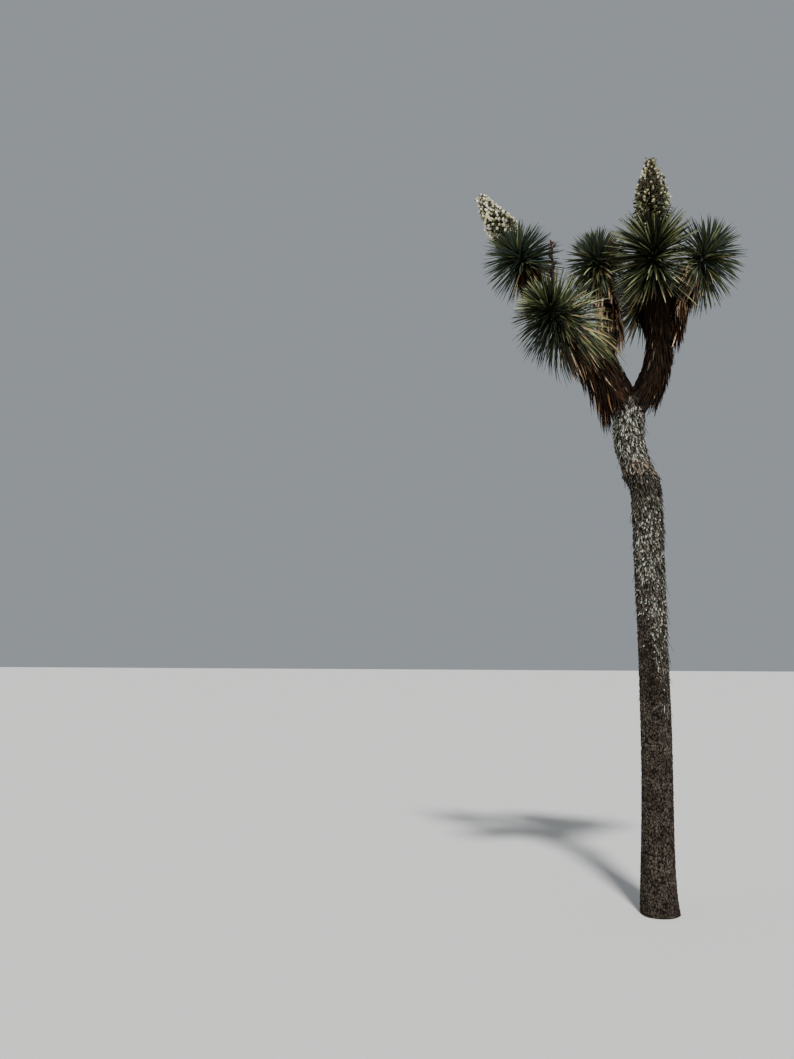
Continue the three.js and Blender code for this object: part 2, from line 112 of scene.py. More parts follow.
def hill(value: Array, middle: float, reach: float) -> Array:
    """A bell curve of height 1 round a middle."""
    return np.exp(-(((value - middle) / reach) ** 2))


def square_to(axes: Array) -> tuple[Array, Array]:
    """Two directions square to each axis and to each other.

    Args:
        axes: Unit vectors, with their three numbers on the last axis.

    Returns:
        The side direction, which is the cross product of +Y and the axis, and the direction square to both.
    """
    side = unit(np.cross(INTO_THE_VIEW, axes))
    return side, np.cross(axes, side)


def out_from(axes: Array, turns: Array) -> Array:
    """Directions square to axes.

    Args:
        axes: Unit vectors.
        turns: Turns round the axes from their side directions, in radians.

    Returns:
        cos(turn) of the side direction, plus sin(turn) of the direction square to both, as unit vectors.
    """
    side, other = square_to(axes)
    return side * np.cos(turns)[..., None] + other * np.sin(turns)[..., None]


def swung(axes: Array, angles: Array, turns: Array) -> Array:
    """Directions that lean from an axis by an angle, at a turn round it.

    Args:
        axes: Unit vectors.
        angles: Angles from the axis, in radians.
        turns: Turns round the axis, in radians.

    Returns:
        cos(angle) of the axis, plus sin(angle) of a direction square to it, as unit vectors.
    """
    return axes * np.cos(angles)[..., None] + out_from(axes, turns) * np.sin(angles)[..., None]


def full_circle(count: int) -> Array:
    """Angles evenly spaced all the way round, in radians."""
    return np.linspace(0, 2 * np.pi, count, endpoint=False)


def level_out(angles: Array) -> Array:
    """Level unit vectors at angles from +X."""
    return np.stack([np.cos(angles), np.sin(angles), np.zeros_like(angles)], axis=-1)


def lattice_noise(points: Array, cell: float, seed: int) -> Array:
    """Smooth noise from -1 to 1 over space.

    Each corner of a lattice of cubes has a hashed value. A point takes the eight values round it, weighted
    by smooth steps of its place in its cube.

    Args:
        points: Places in space, with three numbers on the last axis.
        cell: Side of a cube in metres.
        seed: Number that tells one noise from another.

    Returns:
        One value for each point.
    """
    scaled = points / cell
    corner = np.floor(scaled).astype(np.int64)
    part = scaled - corner
    part = part * part * (3 - 2 * part)
    total = np.zeros(points.shape[:-1])
    for step in np.ndindex(2, 2, 2):
        value = 2 * hashed(corner + np.array(step), seed)[..., 0] - 1
        total += value * np.prod(np.where(np.array(step), part, 1 - part), axis=-1)
    return total


def cells(points: Array, size: Triple, seed: int) -> tuple[Array, Array]:
    """Cells round scattered seeds, as on cracked bark.

    Each cube of a lattice holds one seed at a hashed place. A point belongs to the seed that is nearest.

    Args:
        points: Places in space, with three numbers on the last axis.
        size: Sides of a lattice box in metres.
        seed: Number that tells one set of cells from another.

    Returns:
        How much further the second nearest seed is than the nearest, in boxes, and a hashed tone from 0 to 1
        for each point's cell.
    """
    scaled = points / np.array(size)
    corner = np.floor(scaled).astype(np.int64)
    first = np.full(points.shape[:-1], np.inf)
    second = np.full(points.shape[:-1], np.inf)
    tone = np.zeros(points.shape[:-1])
    for step in np.ndindex(3, 3, 3):
        place = corner + np.array(step) - 1
        gap = place + hashed(place, seed) - scaled
        distance = np.linalg.norm(gap, axis=-1)
        is_nearest = distance < first
        second = np.where(is_nearest, first, np.minimum(second, distance))
        tone = np.where(is_nearest, hashed(place, seed + 7)[..., 0], tone)
        first = np.minimum(first, distance)
    return second - first, tone


def hashed(places: Array, seed: int) -> Array:
    """Three numbers for each whole-number place, scrambled by products and shifts.

    Args:
        places: Places in space, with three whole numbers on the last axis.
        seed: Number that tells one use from another.

    Returns:
        Numbers from 0 to 1, with three on the last axis.
    """
    spread = np.bitwise_xor.reduce(places * np.array(HASH_SPREAD), axis=-1)
    numbers = []
    for turn in range(3):
        mixed = (spread ^ (seed * 3 + turn) * HASH_SEED_STEP) & HASH_TOP
        for shift, factor in HASH_SCRAMBLES:
            mixed = ((mixed ^ (mixed >> shift)) * factor) & HASH_TOP
        numbers.append(mixed / HASH_TOP)
    return np.stack(numbers, axis=-1)


def tube_quads(rings: int, around: int) -> Array:
    """The side faces of a tube whose points are numbered ring by ring.

    Args:
        rings: Number of rings.
        around: Number of points round a ring.

    Returns:
        The numbers of each face's four points.
    """
    ring, place = np.meshgrid(np.arange(rings - 1), np.arange(around), indexing="ij")
    after = (place + 1) % around
    low, high = ring * around, (ring + 1) * around
    return np.stack([low + place, low + after, high + after, high + place], axis=-1).reshape(-1, 4)


def fan(start: int, around: int, middle: int) -> Array:
    """The faces between a ring, given by its first point's number, and a point beyond it."""
    here = np.arange(around)
    return np.stack([start + here, start + (here + 1) % around, np.full(around, middle)], axis=1)


@dataclass
class Path:
    """A smooth curve in space, read at shares of its length."""

    points: Array

    def __post_init__(self) -> None:
        """Work out how far along the curve each of its points lies, as a share."""
        steps = np.linalg.norm(np.diff(self.points, axis=0), axis=1)
        self.length = float(steps.sum())
        self.shares = np.concatenate([[0.0], np.cumsum(steps)]) / self.length

    @classmethod
    def bezier(cls, *corners: Array, count: int = 160) -> "Path":
        """A Bezier curve: means of the corners, weighted by the binomial terms of each point's share.

        Args:
            corners: The curve's control points.
            count: Number of points that it is read at.

        Returns:
            The curve.
        """
        share = np.linspace(0, 1, count)[:, None]
        degree = len(corners) - 1
        total = np.zeros((count, 3))
        for number, corner in enumerate(corners):
            weight = math.comb(degree, number) * share**number * (1 - share) ** (degree - number)
            total += weight * np.asarray(corner, float)
        return cls(total)

    def at(self, shares: Array) -> Array:
        """Points at shares of the length."""
        clipped = np.clip(shares, 0, 1)
        return np.stack([np.interp(clipped, self.shares, column) for column in self.points.T], axis=-1)

    def along(self, shares: Array) -> Array:
        """Unit tangents at shares of the length, from two points close by."""
        reach = 0.01
        return unit(self.at(np.minimum(shares + reach, 1)) - self.at(np.maximum(shares - reach, 0)))

    def sleeve(self, shares: Array, around: int) -> tuple[Array, Array]:
        """The frame of a tube round the curve.

        Args:
            shares: Shares of the length, one for each ring.
            around: Number of points round a ring.

        Returns:
            The rings' middles, and the directions out from them, by ring, by place round it, by coordinate.
        """
        return self.at(shares)[:, None], out_from(self.along(shares)[:, None], full_circle(around))

    def distance(self, points: Array) -> tuple[Array, Array]:
        """How far points are from the curve.

        Args:
            points: Places in space, one a row.

        Returns:
            The distance to the nearest of every fourth of the curve's points, and that point's share.
        """
        step = 4
        gaps = np.linalg.norm(points[:, None, :] - self.points[None, ::step, :], axis=2)
        nearest = gaps.argmin(axis=1)
        return gaps[np.arange(len(points)), nearest], self.shares[::step][nearest]


@dataclass
class Mesh:
    """Vertices and faces that are being worked out, before they are a Blender mesh."""

    points: Array
    quads: Array
    tris: Array
    quad_finish: Array
    tri_finish: Array
    uv: Array

    @classmethod
    def joined(cls, parts: list["Mesh"]) -> "Mesh":
        """One mesh of several, with each part's vertices counted on from the last.

        Args:
            parts: The meshes.

        Returns:
            The one mesh.
        """
        moved = []
        start = 0
        for part in parts:
            moved.append(replace(part, quads=part.quads + start, tris=part.tris + start))
            start += len(part.points)
        fields = cls.__dataclass_fields__
        return cls(*[np.concatenate([getattr(part, name) for part in moved]) for name in fields])


def rings_to_mesh(rings: Array) -> Mesh:
    """A tube through rings of points, closed at each end by a fan to the ring's mean.

    Args:
        rings: Points by ring, by place round it, by coordinate. They turn right-handed about the way along.

    Returns:
        The mesh, whose UV map runs round the tube and along it. The ends' middles are its last two points.
    """
    count, around, _ = rings.shape
    foot = count * around
    ends = np.stack([rings[0].mean(axis=0), rings[-1].mean(axis=0)])
    across = np.tile(np.arange(around) / around, count)
    along = np.repeat(np.linspace(0, 1, count), around)
    quads = tube_quads(count, around)
    foot_fan = fan(0, around, foot)[:, [1, 0, 2]]
    tris = np.concatenate([foot_fan, fan(foot - around, around, foot + 1)])
    return Mesh(
        np.concatenate([rings.reshape(-1, 3), ends]),
        quads,
        tris,
        np.zeros(len(quads), int),
        np.zeros(len(tris), int),
        np.concatenate([np.stack([across, along], axis=1), [[0.5, 0.0], [0.5, 1.0]]]),
    )


def with_ends(numbers: Array) -> Array:
    """One number for each point of a closed tube: those of its rings, and a half for each end's middle."""
    return np.concatenate([numbers.ravel(), [0.5, 0.5]])


class Section(Enum):
    """A blade cut across: points as (half widths across, thicknesses towards its upper side)."""

    CHANNELLED = ((-1.0, 0.55), (0.0, -0.75), (1.0, 0.55), (0.0, 0.1))
    CUPPED = ((-1.0, 0.9), (0.0, -0.6), (1.0, 0.9), (0.0, 0.3))
    ROUND = ((-1.0, 0.0), (-0.5, -0.87), (0.5, -0.87), (1.0, 0.0), (0.5, 0.87), (-0.5, 0.87))


@dataclass(frozen=True)
class Blade:
    """The form that all the leaves of one kind share.

    The outline gives the width at shares of the length, in full widths, and the last step is a point. The
    shaded steps are the first ones, which take their palette's darker copies as painted shade.
    """

    width: float
    thick: float
    outline: tuple[tuple[float, float], ...]
    section: Section = Section.CHANNELLED
    inner_steps: int = 0


@dataclass
class Growth:
    """Where the blades of one mass stand: one row of each array for each blade."""

    roots: Array
    along: Array
    face: Array
    lengths: Array
    bend: Array
    twist: Array
    size: Array
    finish: Array

    def kept(self, wanted: Array) -> "Growth":
        """The same growth with only the blades that are wanted."""
        return Growth(*[getattr(self, name)[wanted] for name in self.__dataclass_fields__])

    def sampled(self, shares: Array) -> Array:
        """Points on each blade's middle line.

        Args:
            shares: Shares of the length.

        Returns:
            Points by blade, by share, by coordinate: the root, plus the straight way, plus the bend, which
            grows as the square of the share.
        """
        part = shares[None, :, None]
        reach = self.lengths[:, None, None]
        straight = self.along[:, None, :] * part + self.bend[:, None, :] * part**2
        return self.roots[:, None, :] + reach * straight


def blades(growth: Growth, form: Blade, inner_start: int = 0, tip_finish: int | None = None) -> Mesh:
    """All the blades of one mass as one mesh of closed leaves.

    A blade's section is carried along its middle line. It turns with the bend and twists evenly from root to
    tip. Its width follows the outline, and its thickness follows the square root of that.

    Args:
        growth: Where the blades stand.
        form: Their shared form.
        inner_start: What is added to a blade's finish on its shaded steps, to take its painted-shade copy.
        tip_finish: The finish of the last faces of each blade, where it isn't the blade's own.

    Returns:
        The mesh, whose UV map runs across each leaf and along it.
    """
    count = len(growth.roots)
    shares, widths = np.array(form.outline).T
    section = np.array(form.section.value)
    around, steps = len(section), len(shares)
    middle = growth.sampled(np.append(shares, 1.0))
    tangent = unit(growth.along[:, None, :] + 2 * growth.bend[:, None, :] * shares[None, :, None])
    face = growth.face[:, None, :]
    face = unit(face - tangent * np.sum(face * tangent, axis=2, keepdims=True))
    across = np.cross(tangent, face)
    turn = growth.twist[:, None, None] * shares[None, :, None]
    face, across = face * np.cos(turn) + across * np.sin(turn), across * np.cos(turn) - face * np.sin(turn)
    wide = growth.size[:, None] * form.width * widths[None, :] / 2
    deep = growth.size[:, None] * form.thick * np.sqrt(widths)[None, :]
    rings = middle[:, :-1, None, :] + across[:, :, None, :] * (wide[:, :, None] * section[:, 0])[..., None]
    rings = rings + face[:, :, None, :] * (deep[:, :, None] * section[:, 1])[..., None]
    points = np.concatenate([rings.reshape(count, -1, 3), middle[:, -1:, :]], axis=1)

    tips = fan((steps - 1) * around, around, steps * around)
    corner = np.arange(1, around - 1)
    caps = np.stack([corner + 1, corner, np.zeros_like(corner)], axis=1)
    starts = (np.arange(count) * points.shape[1])[:, None, None]
    quads = (tube_quads(steps, around)[None] + starts).reshape(-1, 4)
    tris = np.concatenate([(tips[None] + starts).reshape(-1, 3), (caps[None] + starts).reshape(-1, 3)])

    # Painted shade: the first steps of each blade take the darker copy of its finish.
    inner = np.repeat(np.arange(steps - 1) < form.inner_steps, around) * inner_start
    own = (growth.finish[:, None] + inner[None, :]).ravel()
    ends = growth.finish if tip_finish is None else np.full(count, tip_finish)
    tri_finish = np.concatenate([np.repeat(ends, len(tips)), np.repeat(growth.finish, len(caps))])
    edge = (section[:, 0] + 1) / 2
    uv = np.stack([np.tile(edge, steps), np.repeat(shares, around)], axis=1)
    uv = np.tile(np.concatenate([uv, [[0.5, 1.0]]]), (count, 1))
    return Mesh(points.reshape(-1, 3), quads, tris, own, tri_finish, uv)


def dealt_out(weights: Array, rng: np.random.Generator) -> Array:
    """The number of a finish for each leaf, drawn by the leaf's own row of weights."""
    levels = np.cumsum(weights / weights.sum(axis=1, keepdims=True), axis=1)
    return (rng.random(len(weights))[:, None] > levels).sum(axis=1).clip(0, weights.shape[1] - 1)


def draws(turn: float, kind: int = 0) -> np.random.Generator:
    """The random draws of one mass, seeded by its first turn and its kind."""
    return np.random.default_rng(int(turn * 100) + kind)


class Nodes:
    """The node tree of one material, with its shader."""

    def __init__(self, name: str, roughness: float, specular: float = 0.5) -> None:
        """Start a material whose roughness and specular level are the same all over.

        Args:
            name: The material's name.
            roughness: From 0, a mirror, to 1, matt.
            specular: The level of the plain reflection.
        """
        self.material = bpy.data.materials.new(name)
        self.material.use_nodes = True
        self.tree = self.material.node_tree
        self.shader = self.tree.nodes["Principled BSDF"]
        self.shader.inputs["Roughness"].default_value = roughness
        self.shader.inputs["Specular IOR Level"].default_value = specular

    def add(self, kind: str, **settings: object) -> bpy.types.Node:
        """A new node with its properties set.

        Args:
            kind: Blender's name for the kind of node.
            settings: Values by the properties' names.

        Returns:
            The node.
        """
        node = self.tree.nodes.new(kind)
        for name, value in settings.items():
            setattr(node, name, value)
        return node

    def link(self, source: Socket, target: Socket) -> None:
        """Join two sockets."""
        self.tree.links.new(source, target)

    def where(self, scale: Triple = (1, 1, 1)) -> Socket:
        """Object coordinates, scaled along each axis.

        Args:
            scale: Factors for the three axes.

        Returns:
            The coordinates' socket.
        """
        mapping = self.add("ShaderNodeMapping")
        mapping.inputs["Scale"].default_value = scale
        self.link(self.add("ShaderNodeTexCoord").outputs["Object"], mapping.inputs["Vector"])
        return mapping.outputs["Vector"]

    def noise(self, where: Socket, scale: float, detail: float = 3) -> Socket:
        """A noise from 0 to 1.

        Args:
            where: The coordinates that it reads.
            scale: How fine it is.
            detail: How many finer layers are added to it.

        Returns:
            The noise's socket.
        """
        node = self.add("ShaderNodeTexNoise")
        node.inputs["Scale"].default_value = scale
        node.inputs["Detail"].default_value = detail
        self.link(where, node.inputs["Vector"])
        return node.outputs["Fac"]

    def ramp(self, source: Socket, stops: list[tuple[float, Triple]]) -> Socket:
        """A colour for each value.

        Args:
            source: The value's socket.
            stops: Pairs of a value and a colour, with the values in order.

        Returns:
            The colour's socket.
        """
        node = self.add("ShaderNodeValToRGB")
        elements = node.color_ramp.elements
        while len(elements) < len(stops):
            elements.new(1.0)
        for element, (place, colour) in zip(elements, stops):
            element.position = place
            element.color = (*colour, 1)
        self.link(source, node.inputs["Fac"])
        return node.outputs["Color"]

    def feed(self, socket: Socket, value: object) -> None:
        """Give a socket its value.

        Args:
            socket: The socket that takes the value.
            value: Another socket, a colour or a number.
        """
        if isinstance(value, Socket):
            self.link(value, socket)
        else:
            socket.default_value = (*value, 1) if isinstance(value, tuple) else value

    def maths(self, kind: str, *values: object) -> Socket:
        """A sum, a product or another piece of arithmetic.

        Args:
            kind: Blender's name for the operation.
            values: Sockets and numbers, in order.

        Returns:
            The result's socket.
        """
        node = self.add("ShaderNodeMath", operation=kind)
        for socket, value in zip(node.inputs, values):
            self.feed(socket, value)
        return node.outputs["Value"]

    def mixed(self, share: object, first: object, second: object) -> Socket:
        """A colour between two.

        Args:
            share: How far it lies from the first to the second, as a socket or a number.
            first: The first colour or its socket.
            second: The second colour or its socket.

        Returns:
            The colour's socket.
        """
        node = self.add("ShaderNodeMix", data_type="RGBA")
        share_socket, first_socket, second_socket = (node.inputs[number] for number in (0, 6, 7))
        self.feed(share_socket, share)
        self.feed(first_socket, first)
        self.feed(second_socket, second)
        return node.outputs[2]

    def attribute(self, name: str) -> Socket:
        """A number that the mesh carries at each vertex."""
        return self.add("ShaderNodeAttribute", attribute_name=name).outputs["Fac"]

    def coloured(self, colour: object) -> None:
        """Give the shader its base colour, as a socket or as one colour all over."""
        self.feed(self.shader.inputs["Base Color"], colour)

    def bumped(self, height: Socket, distance: float) -> None:
        """Give the shader a bump.

        Args:
            height: The socket of the height, as a share of the distance.
            distance: The distance in metres.
        """
        node = self.add("ShaderNodeBump")
        node.inputs["Distance"].default_value = distance
        self.link(height, node.inputs["Height"])
        self.link(node.outputs["Normal"], self.shader.inputs["Normal"])


@dataclass(frozen=True)
class LeafFinish:
    """A leaf, a petal or a stem of one plain colour, with a faint gloss."""

    name: str
    colour: Triple
    roughness: float
    specular: float = 0.35

    def material(self) -> bpy.types.Material:
        """The finish as a Blender material, with its colour on the shader's own socket.

        Returns:
            The material.
        """
        nodes = Nodes(self.name, self.roughness, self.specular)
        nodes.coloured(self.colour)
        return nodes.material

    def inner(self, shade: float) -> "LeafFinish":
        """A copy of the same leaf darker by a share: painted shade for its parts deep in a mass."""
        dark = tuple(shade * part for part in self.colour)
        return replace(self, name=f"{self.name}_inner", colour=dark)


@dataclass(frozen=True)
class BarkFinish:
    """Corky bark: small plates of several browns, with dark cracks between them, which are partly the bark's
    own darker furrows and partly painted shade.
    """

    name: str
    crack: Triple
    dull: Triple
    warm: Triple
    pale: Triple
    grain_scale: float = 170.0
    plate_scale: float = 115.0
    patch_scale: float = 7.0
    bump: float = 0.005

    def material(self) -> bpy.types.Material:
        """The finish as a Blender material.

        The mesh carries how far a place stands out of the cracks, and a tone for each plate. Finer plates
        and grain come from Object coordinates, stretched along the trunk.

        Returns:
            The material.
        """
        nodes = Nodes(self.name, 0.95, 0.08)
        grain = nodes.noise(nodes.where((1, 1, 0.4)), self.grain_scale, detail=4)
        fine = nodes.add("ShaderNodeTexVoronoi", feature="DISTANCE_TO_EDGE")
        fine.inputs["Scale"].default_value = self.plate_scale
        nodes.link(nodes.where((1, 1, 0.55)), fine.inputs["Vector"])
        plates = nodes.ramp(fine.outputs["Distance"], [(0.0, (0, 0, 0)), (0.22, (1, 1, 1))])
        tone = nodes.attribute("tone")
        body = nodes.ramp(tone, [(0.05, self.dull), (0.5, self.warm), (0.95, self.pale)])
        patches = nodes.maths("MULTIPLY", nodes.noise(nodes.where(), self.patch_scale), 0.55)
        body = nodes.mixed(patches, body, self.dull)
        relief = nodes.attribute("relief")
        lift = nodes.maths("MULTIPLY", relief, nodes.maths("MULTIPLY_ADD", plates, 0.75, 0.25))
        lift = nodes.maths("MULTIPLY", lift, nodes.maths("MULTIPLY_ADD", grain, 1.4, 0.3))
        # The low places take the crack colour: partly the bark's own dark furrows, partly painted shade in
        # them.
        shown = nodes.ramp(lift, [(0.08, (0, 0, 0)), (0.45, (1, 1, 1))])
        nodes.coloured(nodes.mixed(shown, self.crack, body))
        nodes.bumped(nodes.maths("ADD", lift, grain), self.bump)
        return nodes.material


@dataclass(frozen=True)
class PlainFinish:
    """A finish of one colour, mottled by a share of it, with a fine grain of that depth in metres."""

    name: str
    colour: Triple
    roughness: float
    mottle: float = 0.25
    mottle_scale: float = 70.0
    grain: float = 0.0008
    grain_scale: float = 400.0
    specular: float = 0.3

    def material(self) -> bpy.types.Material:
        """The finish as a Blender material, mottled by noise on Object coordinates.

        Returns:
            The material.
        """
        nodes = Nodes(self.name, self.roughness, self.specular)
        where = nodes.where()
        shade = tuple((1 - self.mottle) * part for part in self.colour)
        nodes.coloured(nodes.mixed(nodes.noise(where, self.mottle_scale, detail=2), self.colour, shade))
        nodes.bumped(nodes.noise(where, self.grain_scale), self.grain)
        return nodes.material


LIVE_OUTER = [
    # leaf_deep is near black: a painted-shade leaf, dealt deep in the heads and where they are painted dark.
    LeafFinish("leaf_deep", (0.017, 0.023, 0.012), 0.5, 0.16),
    LeafFinish("leaf_olive", (0.046, 0.056, 0.02), 0.42),
    LeafFinish("leaf_green", (0.1, 0.122, 0.04), 0.42),
    LeafFinish("leaf_bright", (0.34, 0.365, 0.175), 0.45),
    LeafFinish("leaf_blue", (0.05, 0.073, 0.054), 0.45),
    LeafFinish("leaf_withered", (0.3, 0.22, 0.1), 0.7),
]
# Painted shade: darker copies of the live leaf finishes, for the roots of the leaves deep in a head.
LIVE_SHADED = [finish.inner(0.65) for finish in LIVE_OUTER]
DEEP, BRIGHT, WITHERED = 0, 3, 5
LEAF_TIP = LeafFinish("leaf_spine", (0.07, 0.035, 0.015), 0.6)
# The leafy stem is near black: painted shade deep in the head.
LEAF_STEM = LeafFinish("leafy_stem", (0.014, 0.016, 0.007), 0.8)

# The dark and red finishes are partly the dead leaves' own browns and partly painted shade.
DEAD_OUTER = [
    LeafFinish("dead_dark", (0.014, 0.0075, 0.004), 0.85, 0.08),
    LeafFinish("dead_red", (0.04, 0.019, 0.009), 0.85, 0.08),
    LeafFinish("dead_orange", (0.2, 0.11, 0.05), 0.8, 0.1),
    LeafFinish("dead_tan", (0.4, 0.29, 0.18), 0.8, 0.1),
    LeafFinish("dead_grey", (0.075, 0.064, 0.05), 0.9, 0.08),
    LeafFinish("dead_straw", (0.8, 0.56, 0.36), 0.8, 0.1),
]
# Painted shade: darker copies of the dead leaf finishes, for the roots deep in a skirt.
DEAD_SHADED = [finish.inner(0.3) for finish in DEAD_OUTER]
ORANGE, TAN, STRAW = 2, 3, 5
# The mat under the hanging leaves is near black: painted shade in the depths of a skirt.
DEAD_MAT_SHADE = PlainFinish("dead_mat", (0.007, 0.0045, 0.003), 0.95, mottle=0.5, grain=0.004, specular=0.03)

STUB_OUTER = [
    LeafFinish("stub_dark", (0.02, 0.0175, 0.013), 0.92, 0.1),
    LeafFinish("stub_brown", (0.062, 0.055, 0.042), 0.92, 0.1),
    LeafFinish("stub_grey", (0.15, 0.15, 0.124), 0.9, 0.1),
    LeafFinish("stub_pale", (0.4, 0.4, 0.34), 0.88, 0.1),
    LeafFinish("stub_pink", (0.26, 0.205, 0.15), 0.9, 0.1),
]
# Painted shade: darker copies of the stub finishes, for the roots between the stubs.
STUB_SHADED = [finish.inner(0.25) for finish in STUB_OUTER]

BARK = BarkFinish(
    "bark",
    crack=(0.006, 0.004, 0.003),
    dull=(0.034, 0.026, 0.019),
    warm=(0.094, 0.075, 0.058),
    pale=(0.165, 0.14, 0.115),
)

PETAL_OUTER = [
    LeafFinish("petal_cream", (0.74, 0.7, 0.44), 0.5),
    LeafFinish("petal_white", (0.92, 0.9, 0.74), 0.5),
    LeafFinish("petal_green", (0.36, 0.37, 0.18), 0.5),
    # Dark brown: the dull flowers' finish, and painted shade for the flowers of the deep shell.
    LeafFinish("petal_bud", (0.062, 0.048, 0.026), 0.55),
]
# Painted shade: darker copies of the petal finishes, for the petals' lower parts deep in each flower.
PETAL_SHADED = [finish.inner(0.36) for finish in PETAL_OUTER]
BUD_AND_SHADE = 3
BRACT = LeafFinish("bract_dry", (0.16, 0.11, 0.06), 0.8)
FLOWER_STEM = LeafFinish("flower_stem", (0.06, 0.07, 0.028), 0.6)

FRUIT = [
    PlainFinish("fruit_dark", (0.045, 0.02, 0.015), 0.85, mottle=0.4, grain=0.002),
    PlainFinish("fruit_red", (0.12, 0.05, 0.032), 0.85, mottle=0.4, grain=0.002),
]

FLOOR = PlainFinish("floor", (0.62, 0.61, 0.59), 0.9, mottle=0.03)

Finish = LeafFinish | BarkFinish | PlainFinish


class Wardrobe:
    """Blender materials by finish, each made once."""

    made: dict[str, bpy.types.Material] = {}

    @classmethod
    def of(cls, finish: Finish) -> bpy.types.Material:
        """The material of a finish."""
        if finish.name not in cls.made:
            cls.made[finish.name] = finish.material()
        return cls.made[finish.name]


class RecordSlot(Enum):
    """The record's material slots."""

    BARK = "bark"
    LEAF = "leaf"
    DEAD_LEAF = "dead_leaf"
    BLOSSOM = "blossom"
    FRUIT_STALK = "fruit_stalk"


def shown(name: str, data: bpy.types.ID) -> bpy.types.Object:
    """A new object of the scene.

    Args:
        name: The object's name.
        data: The mesh, light or camera that it shows.

    Returns:
        The object.
    """
    thing = bpy.data.objects.new(name, data)
    bpy.context.scene.collection.objects.link(thing)
    return thing


def piece(
    name: str,
    mesh: Mesh,
    finishes: list[Finish],
    nodes: tuple[str, ...] = (),
    is_smooth: bool = False,
    carried: dict[str, Array] | None = None,
) -> bpy.types.Object:
    """Put a mesh into the scene as a piece that rides on the tree.

    Args:
        name: The piece's name.
        mesh: Its vertices and faces.
        finishes: The finishes that the faces' numbers name.
        nodes: CAD nodes that it stands for.
        is_smooth: Whether its faces are shaded as one smooth surface.
        carried: Numbers from 0 to 1 for each vertex, by name, which the bark's material reads.

    Returns:
        The Blender object.
    """
    made = bpy.data.meshes.new(name)
    corners = np.concatenate([mesh.quads.ravel(), mesh.tris.ravel()])
    totals = np.concatenate([np.full(len(mesh.quads), 4), np.full(len(mesh.tris), 3)])
    made.vertices.add(len(mesh.points))
    made.vertices.foreach_set("co", mesh.points.astype(np.float32).ravel())
    made.loops.add(len(corners))
    made.loops.foreach_set("vertex_index", corners.astype(np.int32))
    made.polygons.add(len(totals))
    made.polygons.foreach_set("loop_start", np.concatenate([[0], np.cumsum(totals)[:-1]]).astype(np.int32))
    finish = np.concatenate([mesh.quad_finish, mesh.tri_finish]).astype(np.int32)
    made.polygons.foreach_set("material_index", finish)
    made.polygons.foreach_set("use_smooth", np.full(len(totals), is_smooth))
    made.update(calc_edges=True)
    layer = made.uv_layers.new(name="UVMap")
    layer.data.foreach_set("uv", mesh.uv[corners].astype(np.float32).ravel())
    for key, values in (carried or {}).items():
        made.attributes.new(key, "FLOAT", "POINT").data.foreach_set("value", values.astype(np.float32))
    made.validate()
    for each in finishes:
        made.materials.append(Wardrobe.of(each))
    thing = shown(name, made)
    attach(thing, "root")
    if nodes:
        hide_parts(*nodes)
    LOG.info("%s: %d triangles", name, 2 * len(mesh.quads) + len(mesh.tris))
    return thing


